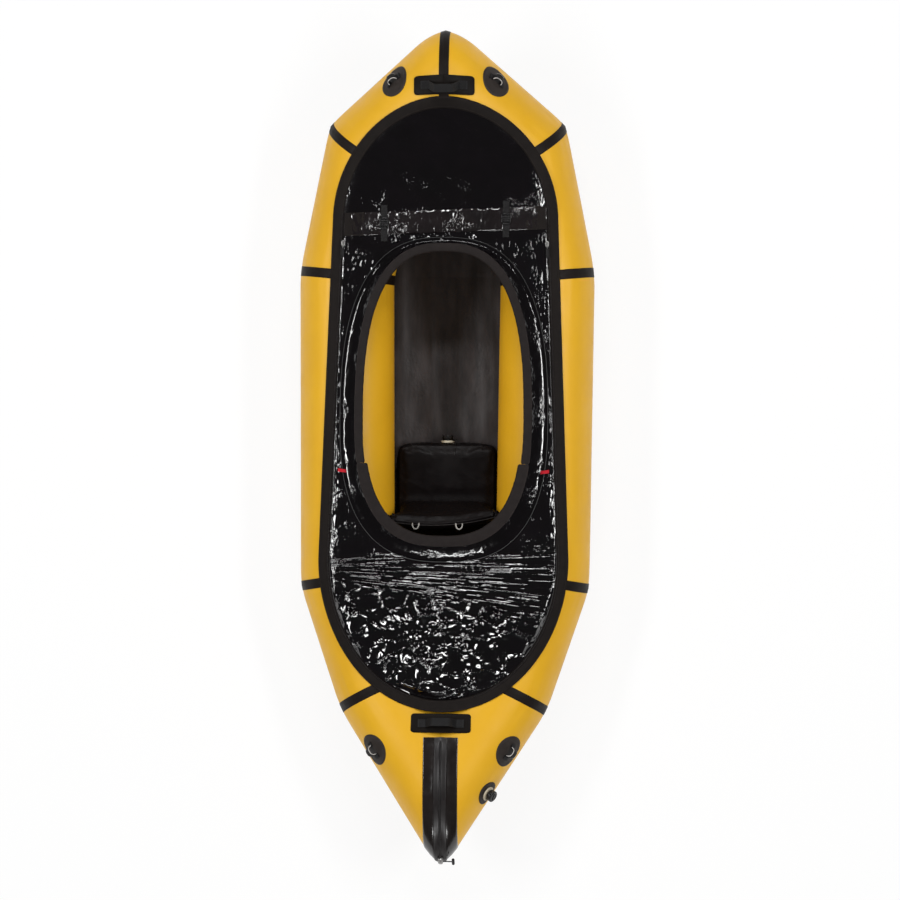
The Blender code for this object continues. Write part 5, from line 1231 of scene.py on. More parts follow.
    def band(self, make: Maker, form: RaftForm) -> None:
        """The crinkled closing band, and the dark patches sewn over its ends."""
        ripple = Ripple(23)
        forward = np.linspace(0.0, 1.0, 25)
        across = np.linspace(-1.0, 1.0, 181)
        middle = form.band_line(0.0, forward)
        half = form.half_at(middle, self.inset)
        x = across[None] * half[:, None]
        y = form.band_line(x, forward[:, None])
        height = form.sheet(x, y) + self.lift + 0.0028
        edge = ease(np.minimum(forward, 1 - forward) / 0.10)[:, None]
        clear = 1 - 0.75 * ridge_at(np.abs(x), Fastenings.aside, 0.012, 4)
        off = 0.0032 * ripple.facets(x, y * 0.45, 0.014) + 0.0040 * ripple.creases(x, y * 0.5, 0.026, 0.1, 0.7, 6, 2.2)
        height = height + clear * edge * off * ease((0.98 - np.abs(across)) / 0.1)[None]
        self.film(make, "closing_band", np.stack([x, y], -1), height, make.wardrobe.band, "deck_band", (0.60, 0.07))
        for side in Side:
            share = np.linspace(0.80, 0.995, 16)
            x = side.value * share[None] * half[:, None]
            y = form.band_line(x, forward[:, None])
            height = form.sheet(x, y) + self.lift + 0.0042
            uv = crossed(forward * form.band_length, (share - 0.8) * 0.3)
            self.film(make, f"band_end_{side.label}", np.stack([x, y], -1), height, make.wardrobe.strip, "",
                      (0.06, 0.07), uv=uv, thick=0.0008)

    def main_deck(self, make: Maker, form: RaftForm) -> None:
        """The film round the cockpit: glints on the sides, long wrinkles and big crumples aft."""
        ripple = Ripple(41)
        bearings = form.bearings(self.rays)
        half = float(form.half_at(form.band_line(0.0, 0.0), self.inset))
        corners = []
        for side in (-1.0, 1.0):
            corner = math.atan2(float(form.band_line(side * half, 0.0)) + self.tuck - form.hub, side * half)
            bearings[np.argmin(np.abs(bearings - corner))] = corner
            corners.append(corner)
        foot = form.by_bearing(form.cockpit(*self.foot_spreads()), bearings)
        outline = form.outline(self.inset, 2000)
        outline = outline[outline[:, 1] < form.band_line(outline[:, 0], 0.0) + self.tuck]
        x = np.linspace(-half, half, 400)
        front = np.column_stack([x, form.band_line(x, 0.0) + self.tuck])
        rim = form.by_bearing(np.vstack([outline, front]), bearings)
        on_band = rim[:, 1] > form.band_line(rim[:, 0], 0.0) - 0.0012
        start = form.sheet(foot[:, 0], foot[:, 1])
        end = np.where(on_band, form.sheet(rim[:, 0], rim[:, 1]), form.bridged(rim[:, 0], rim[:, 1], 0.0))
        plan, height = form.strings(foot, rim, start, end, self.steps)
        x, y = plan[..., 0], plan[..., 1]
        out = np.linspace(0.0, 1.0, self.steps)[None]
        edge = ease(out / 0.05) * ease((1 - out) / 0.07)
        over_tube = ease((np.abs(x) - form.axis_at(y) + 0.10) / 0.08)
        aft = ease((-0.30 - y) / 0.06)
        far = ease((-0.44 - y) / 0.10)
        sides = 1 - aft
        off = sides * (0.0022 * ripple.creases(x, y * 0.3, 0.024, 0.0, 0.5, 6, 2.0)
                       + 0.0022 * ripple.facets(x, y * 0.8, 0.013))
        long = 0.0095 * ripple.creases(x * 0.20, y, 0.036, math.pi / 2, 0.14, 5, 1.6)
        long += 0.0050 * ripple.facets(x * 0.16, y, 0.014)
        crumple = 0.0200 * ripple.facets(x * 0.8, y, 0.070) + 0.0070 * ripple.facets(x, y, 0.034)
        crumple += 0.0080 * ripple.creases(x, y, 0.050, math.pi / 2, 0.75, 5, 2.6)
        off = off + aft * (1 - far) * long + far * (long * 0.25 + crumple)
        off = off * (1 - 0.45 * over_tube) * ease((form.band_line(x, 0.0) - 0.002 - y) / 0.012)
        height = height + self.lift + 0.0004 + edge * off - (aft * edge * 0.0022 * (1 - over_tube))
        height = np.maximum(height, form.over(x, y)[0] + 0.0036)
        self.film(make, "main_deck_film", plan, height, make.wardrobe.film, "main_deck", (0.66, 1.45), True,
                  area=0.383)

    def collar(self, make: Maker, form: RaftForm) -> None:
        """The collar: a piped hem on the deck and a creased wall that rises under the coaming."""
        ripple = Ripple(53)
        bearings = form.bearings(self.rays)
        spreads = self.foot_spreads()
        hem = form.by_bearing(form.cockpit(*(spread + self.hem_width for spread in spreads)), bearings)
        foot = form.by_bearing(form.cockpit(*spreads), bearings)
        top = form.by_bearing(form.cockpit(Coaming.width * 0.55), bearings)
        lay = self.lift + 0.0024
        flat = form.sheet(hem[:, 0], hem[:, 1]) + lay
        low = form.sheet(foot[:, 0], foot[:, 1]) + lay
        high = np.full(len(low), Coaming.foot - 0.0004)
        rows = [np.column_stack([hem, flat - 0.001]), np.column_stack([hem, flat])]
        rows.append(np.column_stack([hem + 0.6 * (foot - hem), flat + 0.6 * (low - flat)]))
        shares = np.linspace(0.0, 1.0, 22)
        x, v = np.moveaxis(crossed(walk(foot), shares * 0.05), -1, 0)
        crease = 0.0030 * ripple.creases(x * 0.6, v, 0.030, 0.15, 0.6, 6, 1.8)
        crease += 0.0010 * ripple.facets(x, v * 0.4, 0.012)
        crease = crease * np.sin(math.pi * np.minimum(shares * 1.15, 1.0))[None]
        sag = 0.55 * shares + 0.45 * shares**2
        out = unit(foot - top)
        for k, share in enumerate(shares):
            plan = foot + (top - foot) * share**0.85 + out * crease[:, k : k + 1] * 0.7
            rows.append(np.column_stack([plan, low + (high - low) * sag[k] + crease[:, k] * 0.8]))
        grid = np.stack(rows, 1)
        obj = make.piece("collar_film", make.slab(grid, grid - 0.0008 * Z_AXIS, wrap_rows=True), make.wardrobe.collar,
                         stands_for="collar", crease=75)
        line = form.even(np.column_stack([hem, flat + 0.0006]), 900)
        # The piping takes the lighter seal rubber, a painted highlight along the black hem.
        make.piece("collar_piping", make.cable(line, 0.0012, 6, closed=True)[:2], make.wardrobe.seal)

    def tabs(self, make: Maker, form: RaftForm) -> None:
        """Small red marker tabs at the collar's hem, one on each side of the cockpit."""
        for side in Side:
            bearing = np.array([math.atan2(-0.062 - form.hub, side.value * 0.298)])
            foot = form.by_bearing(form.cockpit(0.074, 0.046), bearing)[0]
            z = float(form.sheet(foot[:1], foot[1:])[0]) + self.lift + 0.0030
            section = make.rounded(0.010, 0.0012, 10)
            path = np.array([[foot[0] + side.value * out, foot[1] + out * 0.12, z + rise] for out, rise in
                             ((-0.012, 0.0), (-0.005, 0.0022), (0.004, 0.0012), (0.014, 0.0020))])
            make.piece(f"red_tab_{side.label}", make.swept(path, Y_AXIS, section), make.wardrobe.red)


@dataclass(frozen=True)
class Coaming:
    """The padded rim of the cockpit: a front hoop and the wider sleeve over its after part."""

    width: float = 0.028
    sleeve: float = 0.036
    height: float = 0.014
    foot: float = 0.3372
    split: float = -0.045
    gap: float = 0.00015
    section: int = 28
    squareness: float = 0.72

    def build(self, make: Maker, form: RaftForm) -> None:
        """Adds the hoop and the sleeve, gathered slightly along their seams."""
        start = math.atan2(self.split - form.hub, form.cockpit_half)
        self.part(make, form, "coaming_front", start, math.pi - start, 0.0, 300, self.split + self.gap)
        self.part(make, form, "coaming_rear", math.pi - start, math.tau + start, self.width - self.sleeve, 200,
                  self.split - self.gap)

    @staticmethod
    def along(form: RaftForm, curve: Array, first: float, last: float, count: int, cut: float) -> Array:
        """Points of a plan curve between the two places where it crosses y = cut.

        Args:
            form: the raft's form.
            curve: the plan curve.
            first: bearing near the first place.
            last: bearing near the last place.
            count: how many points.
            cut: place along the hull where the curve is cut off.

        Returns:
            Plan points.
        """
        ends = []
        for guess in (first, last):
            trial = guess + np.linspace(-0.3, 0.3, 241)
            reached = form.by_bearing(curve, trial)[:, 1]
            order = np.argsort(reached)
            ends.append(float(np.interp(cut, reached[order], trial[order])))
        return form.by_bearing(curve, np.linspace(*ends, count))

    def part(self, make: Maker, form: RaftForm, name: str, first: float, last: float, grow: float, count: int,
             cut: float) -> None:
        """One padded length, with an oval section whose thickness varies a little.

        Args:
            make: makes the piece.
            form: the raft's form.
            name: the CAD node that it replaces.
            first: bearing near its start.
            last: bearing near its end.
            grow: how far its inner edge lies outside the cockpit's.
            count: sections.
            cut: place along the hull where both ends are cut off.
        """
        inside = self.along(form, form.cockpit(grow), first, last, count, cut)
        outside = self.along(form, form.cockpit(self.width), first, last, count, cut)
        c, s = squared(full_turn(self.section), self.squareness)
        across, up = 0.5 - 0.5 * c, 0.5 + 0.5 * s
        walked = walk(outside)
        rng = np.random.RandomState(len(name))
        swell = sum(rng.uniform(0.3, 1.0) * np.sin(walked * math.tau / size + rng.uniform(0, math.tau))
                    for size in (0.21, 0.083, 0.031, 0.017)) / 4
        end = ease(np.minimum(walked, walked[-1] - walked) / 0.006)
        full = (0.94 + 0.05 * swell) * (0.80 + 0.20 * end)
        plan = inside[:, None] + (0.5 + (across - 0.5)[None] * full[:, None])[..., None] * (outside - inside)[:, None]
        seam = 0.0011 * ridge_at(across, 0.78, 0.05) * (s > 0)
        z = self.foot + self.height * (0.5 + (up - 0.5)[None] * full[:, None]) - seam[None]
        around = walk(np.column_stack([across * self.width, up * self.height]))
        solid = (*make.loft(np.concatenate([plan, z[..., None]], -1)), crossed(walked, around))
        make.piece(f"{name}_sleeve", solid, make.wardrobe.coaming, stands_for=name, padded=0.9, crease=70)


@dataclass(frozen=True)
class Fastenings:
    """Straps with ladder-lock buckles on the band, and the two deck zip sliders with their pulls."""

    aside: float = 0.185
    strap_width: float = 0.020
    strap_length: float = 0.110
    strap_thickness: float = 0.0016
    buckle: tuple[float, float, float] = (0.028, 0.034, 0.0045)
    bar: float = 0.004
    rail: float = 0.0032
    slider_length: float = 0.020
    slider_width: float = 0.012
    slider_height: float = 0.005
    tab_length: float = 0.026
    tab_width: float = 0.008
    zip_start: tuple[float, float] = (0.309913, 0.622)
    zip_run: tuple[float, float, float] = (0.037273, -0.999228, -0.01244)

    def build(self, make: Maker, form: RaftForm) -> None:
        """Adds straps, buckles, sliders and pulls on both sides."""
        for side in Side:
            self.strap(make, form, side)
            self.slider(make, side)

    def strap(self, make: Maker, form: RaftForm, side: Side) -> None:
        """A strap whose ends are folded and sewn down, threaded over the buckle's middle bar."""
        x = side.value * self.aside
        middle = float(form.band_line(x, 0.5))
        low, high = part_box(f"deck_strap_{side.label}")
        box_low, box_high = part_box(f"deck_buckle_{side.label}")
        slope = (high[2] - low[2] - self.strap_thickness) / self.strap_length
        along = np.linspace(-self.strap_length / 2, self.strap_length / 2, 61)
        base = (low[2] + high[2]) / 2 + slope * along
        hump = 0.0040 * ridge_at(along, 0.0, 0.0055) - 0.0003 * ridge_at(np.abs(along), 0.012, 0.004)
        path = np.column_stack([np.full(61, x), middle + along, base + hump])
        section = make.rounded(self.strap_width, self.strap_thickness, 20, 6)
        make.piece(f"band_strap_{side.label}", make.swept(path, X_AXIS, section), make.wardrobe.webbing,
                   stands_for=f"deck_strap_{side.label}")
        for sign in (-1.0, 1.0):
            t = np.linspace(0.0, 0.018, 9)
            y = middle + sign * (self.strap_length / 2 - 0.001 - t)
            z = np.interp(sign * (self.strap_length / 2 - 0.001 - t), along, base) + self.strap_thickness
            flap = np.column_stack([np.full(9, x), y, z])
            solid = make.swept(flap, X_AXIS, make.rounded(self.strap_width * 0.96, self.strap_thickness, 16, 6))
            make.piece(f"band_strap_{side.label}_{'fore' if sign > 0 else 'aft'}_end", solid, make.wardrobe.webbing)
        width, length, thick = self.buckle
        level = (box_low[2] + box_high[2]) / 2
        edge = make.rounded(width, length, 48, shift=0.0)
        hole = make.rounded(width - 2 * self.rail, length - 2 * self.bar, 48, shift=0.0)
        turn = full_turn(12)
        rings = []
        for point, reach in zip((edge + hole) / 2, (edge - hole) / 2):
            ring = point[None] + np.cos(turn)[:, None] * reach[None]
            lift = np.sin(turn) * thick / 2 * 0.9 + slope * ring[:, 1]
            rings.append(np.column_stack([x + ring[:, 0], middle + ring[:, 1], level + lift]))
        make.piece(f"ladder_lock_{side.label}", make.loft(rings, closed=True), make.wardrobe.black,
                   stands_for=f"deck_buckle_{side.label}")
        for index, place in enumerate((-0.0065, 0.0, 0.0065)):
            radius = 0.0017 if index != 1 else 0.0014
            drop = 0.0 if index != 1 else -0.0006
            reach = np.linspace(-width / 2 + 0.002, width / 2 - 0.002, 9)
            path = np.column_stack([x + reach, np.full(9, middle + place), np.full(9, level + drop + slope * place)])
            make.piece(f"ladder_bar_{side.label}_{index + 1}", make.cable(path, radius, 8)[:2], make.wardrobe.black)

    def slider(self, make: Maker, side: Side) -> None:
        """A shaped metal slider with a bail, and a fabric pull with its eyelet."""
        low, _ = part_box(f"deck_zip_slider_{side.label}")
        start = np.array([*self.zip_start, low[2] + 0.0001])
        run = np.array(self.zip_run)
        across = unit(np.cross(run, Z_AXIS))
        up = np.cross(across, run)
        shares = np.linspace(-0.5, 0.5, 15)
        width = np.interp(shares, [-0.5, -0.42, -0.2, 0.2, 0.44, 0.5], [0.35, 0.55, 1.0, 0.88, 0.68, 0.5])
        height = np.interp(shares, [-0.5, -0.4, 0.3, 0.5], [0.5, 0.92, 1.0, 0.6])
        c, s = squared(full_turn(20), 0.45)
        shape = np.column_stack([c, 0.5 + 0.5 * s])
        rings = [start + t * self.slider_length * run + (w * self.slider_width / 2 * shape[:, :1]) * across
                 + (h * self.slider_height * 0.8 * shape[:, 1:]) * up for t, w, h in zip(shares, width, height)]
        make.piece(f"deck_zip_body_{side.label}", make.loft(rings), make.wardrobe.metal,
                   body=f"deck_slider_{side.label}", stands_for=f"deck_zip_slider_{side.label}", side=side)
        angle = np.linspace(0.0, math.pi, 15)
        bail = start + (0.0055 + 0.0088 * -np.cos(angle))[:, None] * run + (
            self.slider_height * 0.72 + 0.0026 * np.sin(angle))[:, None] * up
        make.piece(f"deck_zip_bail_{side.label}", make.cable(bail, 0.0007, 8)[:2], make.wardrobe.metal,
                   body=f"deck_slider_{side.label}", side=side)
        ahead = self.slider_length / 2 + self.tab_width / 2 + 0.0003
        pivot = start + ahead * run + (self.slider_height - 0.0001) * up
        turn = full_turn(48)
        c, s = np.cos(turn), np.sin(turn)
        reach = self.tab_width / 2
        edge = np.column_stack([np.where(c > 0, self.tab_length, 0.0) + reach * c, reach * s * (1 + 0.12 * (c > 0))])
        hole = reach * 0.45 * np.column_stack([c, s])
        rows = []
        upper = [(0.0, 0.55), (0.06, 0.8), (0.5, 0.72), (0.94, 0.8), (1.0, 0.55)]
        for share, lift in [(0.0, -0.55), *upper, *((share, -lift) for share, lift in upper[:0:-1])]:
            flat = edge + share * (hole - edge)
            rows.append(pivot + flat[:, :1] * run + flat[:, 1:] * across + lift * 0.001 * up)
        make.piece(f"deck_zip_tab_{side.label}", make.loft(np.array(rows).swapaxes(0, 1), closed=True),
                   make.wardrobe.webbing, body=f"deck_pull_{side.label}", stands_for=f"deck_zip_pull_{side.label}",
                   side=side)


@dataclass(frozen=True)
class GrabLoops:
    """Four round patches with webbing loops that stand up from them."""

    radius: float = 0.050
    lean: float = 53.0
    webbing: float = 0.020
    thickness: float = 0.0025
    span: float = 0.030
    height: float = 0.022
    foot: float = 0.012
    patch_foot: float = 0.0009

    def build(self, make: Maker, form: RaftForm) -> None:
        """Adds the patches and loops at bow and stern on both sides."""
        for end, panel, seam, along in (("bow", 0, 0, 0.082), ("stern", form.last - 1, form.last, 0.190)):
            site = Site(panel, seam, along, self.lean)
            for side in Side:
                name = f"{end}_{side.label}"
                self.patch(make, form, f"grab_disc_{name}", f"grab_patch_{name}", side, site, self.radius)
                self.loop(make, form, name, side, site)

    @staticmethod
    def patch(make: Maker, form: RaftForm, name: str, stands_for: str, side: Side, site: Site, radius: float,
              top: float = 0.0021) -> None:
        """A moulded round patch that hugs the tube: raised rim line, thin feathered edge.

        Args:
            make: makes the piece.
            form: the raft's form.
            name: piece name.
            stands_for: the CAD node that it replaces, if any.
            side: the half of the raft it is on.
            site: its middle.
            radius: its radius.
            top: height of its plain face over the tube, to within a fifth.
        """
        angle = full_turn(96)
        shares = np.array([1.0, 0.985, 0.93, 0.90, 0.88, 0.855, 0.83, 0.70, 0.5, 0.46, 0.42, 0.2, 0.01])
        layers = np.array([0.35, 0.8, 0.82, 1.05, 1.1, 1.05, 0.82, 0.85, 0.95, 1.15, 1.2, 1.2, 1.2]) * top
        t = radius * shares * np.cos(angle)[:, None]
        s = radius * shares * np.sin(angle)[:, None]
        flat = np.ones_like(t)
        outer = form.on_tube(site, t, s, flat * layers)
        inner = form.on_tube(site, t, s, flat * 0.0002)
        make.piece(name, make.slab(outer, inner, wrap_rows=True), make.wardrobe.disc, stands_for=stands_for, crease=55,
                   side=side)

    def loop(self, make: Maker, form: RaftForm, name: str, side: Side, site: Site) -> None:
        """The webbing: feet sewn flat, then a round arch, with bar-tack stitches over each foot.

        Halving the feet's UV across keeps the painted edge highlight off them.

        Args:
            make: makes the pieces.
            form: the raft's form.
            name: the end and side that it is at.
            side: the half of the raft it is on.
            site: its middle.
        """
        place, normal, around = form.spot(site, self.patch_foot + 0.0012 + 0.0008)
        run = form.run[site.panel]
        low = self.thickness / 2
        arch = np.linspace(0.0, math.pi, 41)
        foot = np.linspace(self.foot, 0.0, 7)[:-1]
        half = self.span / 2
        t = np.concatenate([-half - foot, -half * squared(arch, 0.8)[0], half + foot[::-1]])
        up = np.concatenate([np.full(6, low), low + (self.height - self.thickness) * np.sin(arch) ** 0.72,
                             np.full(6, low)])
        smooth = np.convolve(np.pad(up, 1, mode="edge"), [0.25, 0.5, 0.25], mode="valid")
        path = place + t[:, None] * run + smooth[:, None] * normal
        solid = make.swept(path, around, make.rounded(self.webbing, self.thickness, 20, 6))
        for feet in (solid[2][:8], solid[2][-8:]):
            feet[..., 1] *= 0.5
        make.piece(f"grab_webbing_{name}", solid, make.wardrobe.loop, stands_for=f"grab_loop_{name}", side=side)
        tacks = []
        for sign in (-1.0, 1.0):
            for row in (0.25, 0.8):
                for k in np.linspace(-0.4, 0.4, 12):
                    tacks.append(place + sign * (self.span / 2 + row * self.foot) * run
                                 + k * self.webbing * around + self.thickness * normal)
        frames = np.broadcast_to(np.stack([around, run, normal]), (len(tacks), 3, 3))
        make.piece(f"grab_stitches_{name}", make.blocks((0.0013, 0.0005, 0.00035), tacks, frames), make.wardrobe.seal,
                   side=side)


@dataclass(frozen=True)
class Handles:
    """Carrying handles at bow and stern: a patch over the middle seam, and padded webbing."""

    patch_width: float = 0.182
    patch_length: float = 0.057
    webbing: float = 0.025
    thickness: float = 0.003

    def build(self, make: Maker, form: RaftForm) -> None:
        """Adds both handles."""
        ends = (("bow", form.bow_end + 0.004, 1.0, 0.0020), ("stern", form.stern_end - 0.004, -1.0, 0.0003))
        for name, start, sign, lift in ends:
            self.handle(make, form, name, start, sign, lift)

    def handle(self, make: Maker, form: RaftForm, name: str, start: float, sign: float, lift: float) -> None:
        """A patch with welded border lines, then the handle's sewn feet and arch.

        Args:
            make: makes the pieces.
            form: the raft's form.
            name: the end it is at.
            start: place along the hull of the patch's outer edge.
            sign: the way along the hull in which the patch runs from there.
            lift: height of the patch over the tubes.
        """
        half = self.patch_width / 2
        u = np.linspace(-1.0, 1.0, 73)
        v = np.linspace(0.0, 1.0, 31)
        x = np.broadcast_to(half * u[None], (31, 73))
        corner = np.maximum(np.abs(u) - 0.86, 0.0) / 0.14
        trim = 0.14 * (1 - np.sqrt(np.maximum(1 - corner**2, 0.0)))
        y = start + sign * self.patch_length * (trim[None] + v[:, None] * (1 - 2 * trim[None]))
        edge, lean = form.over(np.full((31, 1), half), y[:, 36:37])
        edge = edge + lift / lean
        rest, lean = form.over(x, y)
        height = np.maximum(edge, rest + lift / lean)
        side = np.minimum(1 - np.abs(u)[None], np.minimum(v, 1 - v)[:, None] * self.patch_length / half)
        rim = 0.0004 * ridge_at(side, 0.07, 0.012) - 0.0009 * (1 - ease(side / 0.012))
        outer = np.stack([x, y, height + 0.0014 + rim], -1)
        inner = np.stack([x, y, height - 0.0002], -1)
        make.piece(f"{name}_handle_pad", make.slab(outer, inner), make.wardrobe.patch,
                   stands_for=f"handle_patch_{name}", crease=60)
        _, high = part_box(f"handle_{name}")
        middle = start + sign * self.patch_length / 2
        slope = float((height[-1, 36] - height[0, 36]) / (y[-1, 36] - y[0, 36]))
        across = unit(np.array([0.0, 1.0, slope]))
        t = np.linspace(-0.070, 0.070, 121)
        row = height[15]
        base = np.interp(np.maximum(np.abs(t), 0.046), x[0], row) + 0.0014 + self.thickness / 2 + 0.0002
        top = high[2] - self.thickness / 2 - self.webbing / 2 * abs(across[2])
        rise = top - base.max()
        up = ease((0.048 - np.abs(t)) / 0.026) ** 0.8 * rise
        path = np.column_stack([t, middle - up * slope, base + up])
        section = make.rounded(self.webbing, self.thickness, 24, 6)
        make.piece(f"{name}_handle_webbing", make.swept(path, across, section), make.wardrobe.webbing,
                   stands_for=f"handle_{name}")
        places, frames = [], []
        up_axis = unit(np.cross(X_AXIS, across))
        for foot in (-1.0, 1.0):
            for line in (0.050, 0.067):
                for k in np.linspace(-0.42, 0.42, 14):
                    z = float(np.interp(foot * line, t, base))
                    places.append(np.array([foot * line, middle, z]) + k * self.webbing * across
                                  + self.thickness / 2 * up_axis)
                    frames.append(np.stack([across, X_AXIS, up_axis]))
        make.piece(f"{name}_handle_stitches", make.blocks((0.0013, 0.0006, 0.0004), places, frames), make.wardrobe.seal)


@dataclass(frozen=True)
class CargoZip:
    """The cargo zip over the stern: welded band, zip tape, teeth, slider and T-shaped pull."""

    band_half: float = 0.0525
    chain_half: float = 0.019
    forward_end: float = -0.8726
    end_lift: float = 0.003
    radius: float = 0.300
    closed: float = math.radians(46.9817)
    tooth_pitch: float = 0.0030

    def build(self, make: Maker, form: RaftForm) -> None:
        """Adds the band, the chain and the slider."""
        self.band(make, form)
        self.chain(make, form)
        self.slider(make, form)

    def lines(self, form: RaftForm, aways: Array, layers: Array, rows: int = 120) -> Array:
        """Lines over the stern, from its tip to the zip's forward end.

        Args:
            form: the raft's form.
            aways: signed distance of each line from the middle plane.
            layers: height of each line over the tube.
            rows: points on a line.

        Returns:
            The lines (lines, rows, 3).
        """
        angles = np.linspace(-0.314, 2.2, rows)
        out = []
        for away, layer in zip(aways, layers):
            row = form.ring(form.last - 1, form.last, abs(away), layer, angles)
            past = int(np.searchsorted(row[:, 1], self.forward_end))
            share = (self.forward_end - row[past - 1, 1]) / (row[past, 1] - row[past - 1, 1])
            stop = row[past - 1] + share * (row[past] - row[past - 1])
            line = np.vstack([row[:past], stop])
            at = np.linspace(0.0, walk(line)[-1], rows)
            line = places_at(line, at)
            line[:, 2] += self.end_lift * 0.4 * ease(1 - (at[-1] - at) / 0.02)
            out.append(mirrored(line) if away < 0 else line)
        return np.array(out)

    def band(self, make: Maker, form: RaftForm) -> None:
        """The broad band, thin at its edges and raised beside the zip."""
        shares = np.array([0.0, 0.35, 0.38, 0.42, 0.46, 0.62, 0.9, 0.94, 0.985, 1.0])
        layers = np.array([1.4, 1.4, 1.9, 2.0, 1.5, 1.35, 1.35, 1.7, 1.2, 0.5]) * 0.001
        aways = np.concatenate([-shares[:0:-1], shares]) * self.band_half
        tops = np.concatenate([layers[:0:-1], layers])
        outer = self.lines(form, aways, tops)
        inner = self.lines(form, aways, np.full(len(tops), 0.0002))
        uv = crossed(aways + self.band_half, walk(outer[0]))[..., ::-1]
        solid = (*make.slab(outer, inner), np.concatenate([uv.reshape(-1, 2)] * 2))
        obj = make.piece("zip_band_cloth", solid, make.wardrobe.zip_band, stands_for="cargo_zip_band", crease=60)

    def chain(self, make: Maker, form: RaftForm) -> None:
        """The zip's rubber tape, its two rows of interlocked teeth and the round stop at its forward end."""
        half = self.chain_half
        foot = 0.0028
        shares = np.array([0.0, 0.2, 0.26, 0.5, 0.9, 0.97, 1.0])
        layers = foot + np.array([1.2, 1.2, 1.0, 0.9, 0.9, 0.7, 0.2]) * 0.001
        aways = np.concatenate([-shares[:0:-1], shares]) * half
        tops = np.concatenate([layers[:0:-1], layers])
        outer = self.lines(form, aways, tops)
        inner = self.lines(form, aways, np.full(len(tops), foot - 0.0004))
        make.piece("zip_tape", make.slab(outer, inner), make.wardrobe.teeth, stands_for="cargo_zip_chain", crease=60)
        line = self.lines(form, np.array([0.0]), np.array([foot + 0.0009]), 400)[0]
        place = places_at(line, np.arange(0.004, walk(line)[-1] - 0.012, self.tooth_pitch / 2))
        run = unit(np.gradient(place, axis=0) * (1 - X_AXIS))
        side = np.broadcast_to(X_AXIS, run.shape)
        frames = np.stack([side, run, np.cross(side, run)], 1)
        place[::2] += 0.0011 * X_AXIS
        place[1::2] -= 0.0011 * X_AXIS
        make.piece("zip_teeth", make.copies(self.tooth(make), place, frames), make.wardrobe.teeth, crease=30)
        stop = line[-1] - 0.010 * Y_AXIS
        axis = unit(np.cross(X_AXIS, line[-1] - line[-9]))
        profile = [(0.0, -0.001), (0.0098, -0.001), (0.0102, 0.0006), (0.0094, 0.0016), (0.0070, 0.0019),
                   (0.0064, 0.0013), (0.0, 0.0013)]
        make.piece("zip_end_stop", make.turned(profile, stop, axis, 40), make.wardrobe.patch)

    @staticmethod
    def tooth(make: Maker) -> Solid:
        """One tooth: a short bevelled block, four rings of eight points."""
        x, y = squared(full_turn(8, 0.5), 0.5)
        return make.loft([np.column_stack([x * 0.0030 * w, y * 0.00062 * w, np.full(8, z)])
                          for z, w in ((0.0, 1.0), (0.0022, 1.0), (0.0029, 0.86), (0.0031, 0.45))])

    def place(self, form: RaftForm, angle: Array, radius: float) -> Array:
        """Point in the middle plane on a circle round the zip's centre, at an angle aft of straight up."""
        angle = np.asarray(angle)
        y = form.zip_centre[0] - radius * np.sin(angle)
        z = form.zip_centre[1] + radius * np.cos(angle)
        return np.stack([np.zeros_like(y), y, z], -1)

    def slider(self, make: Maker, form: RaftForm) -> None:
        """The slider, which straddles the teeth on a curved base, and its pull, lying out to starboard."""
        half = 0.014 / self.radius
        low, roof, high = 0.0048, 0.0092, 0.0142
        outer, inner = 0.008, 0.0062
        shares = np.linspace(-1.0, 1.0, 21)
        widths = np.interp(shares, [-1, -0.9, -0.4, 0.4, 0.9, 1], [0.70, 0.86, 1.0, 0.95, 0.78, 0.62])
        heights = np.interp(shares, [-1, -0.8, 0.5, 1], [0.62, 0.95, 1.0, 0.72])
        rings = []
        for share, w, h in zip(shares, widths, heights):
            angle = self.closed + half * share
            out = unit(self.place(form, angle, 1.0) - self.place(form, angle, 0.0))
            base = self.place(form, angle, self.radius)
            top = roof + (high - roof) * h
            wide, tight = outer * w, min(inner, outer * w - 0.0012)
            corner = 0.0016
            half_section = [(wide - corner, top), (wide - corner * 0.3, top - corner * 0.3), (wide, top - corner),
                            (wide, low), (tight, low), (tight, roof)]
            port = [(-x, layer) for x, layer in half_section[::-1]]
            section = [*port[2:], (0.0, top + 0.0003), *half_section, *port[:2]]
            rings.append([base + x * X_AXIS + layer * out for x, layer in section])
        make.piece("cargo_slider_body", make.loft(rings), make.wardrobe.metal, body="cargo_slider",
                   stands_for="cargo_zip_slider", crease=35)
        out = unit(self.place(form, self.closed, 1.0) - self.place(form, self.closed, 0.0))
        run = np.cross(out, X_AXIS)
        pivot = self.place(form, self.closed, self.radius + high - 0.0015)
        turn = np.linspace(0.0, math.pi, 17)
        bail = pivot + (0.0062 * -np.cos(turn))[:, None] * run + (0.0008 + 0.0030 * np.sin(turn))[:, None] * out
        make.piece("cargo_slider_bail", make.cable(bail, 0.0011, 10)[:2], make.wardrobe.metal, body="cargo_slider")
        start = pivot + 0.0083 * X_AXIS
        reach = np.linspace(0.0, 1.0, 15)
        cord = start + (0.026 * reach)[:, None] * X_AXIS + (0.0008 * np.sin(math.pi * reach))[:, None] * run
        for shift in (-1.0, 1.0):
            make.piece(f"cargo_pull_cord_{'a' if shift < 0 else 'b'}",
                       make.cable(cord + shift * 0.0011 * run, 0.0011, 10), make.wardrobe.webbing, body="cargo_pull")
        grip = start + 0.026 * X_AXIS
        turn = full_turn(24)[:, None]
        spokes = np.cos(turn) * X_AXIS + np.sin(turn) * out
        rows = []
        for s in np.linspace(-1.0, 1.0, 41):
            bulge = 0.86 + 0.14 * abs(math.cos(s * 12)) if abs(s) < 0.85 else 0.97
            end = math.sqrt(max(0.0, 1 - max(0.0, (abs(s) - 0.86) / 0.14) ** 2))
            rows.append(grip + 0.0045 * X_AXIS + 0.013 * s * run + 0.0045 * bulge * max(end, 0.05) * spokes)
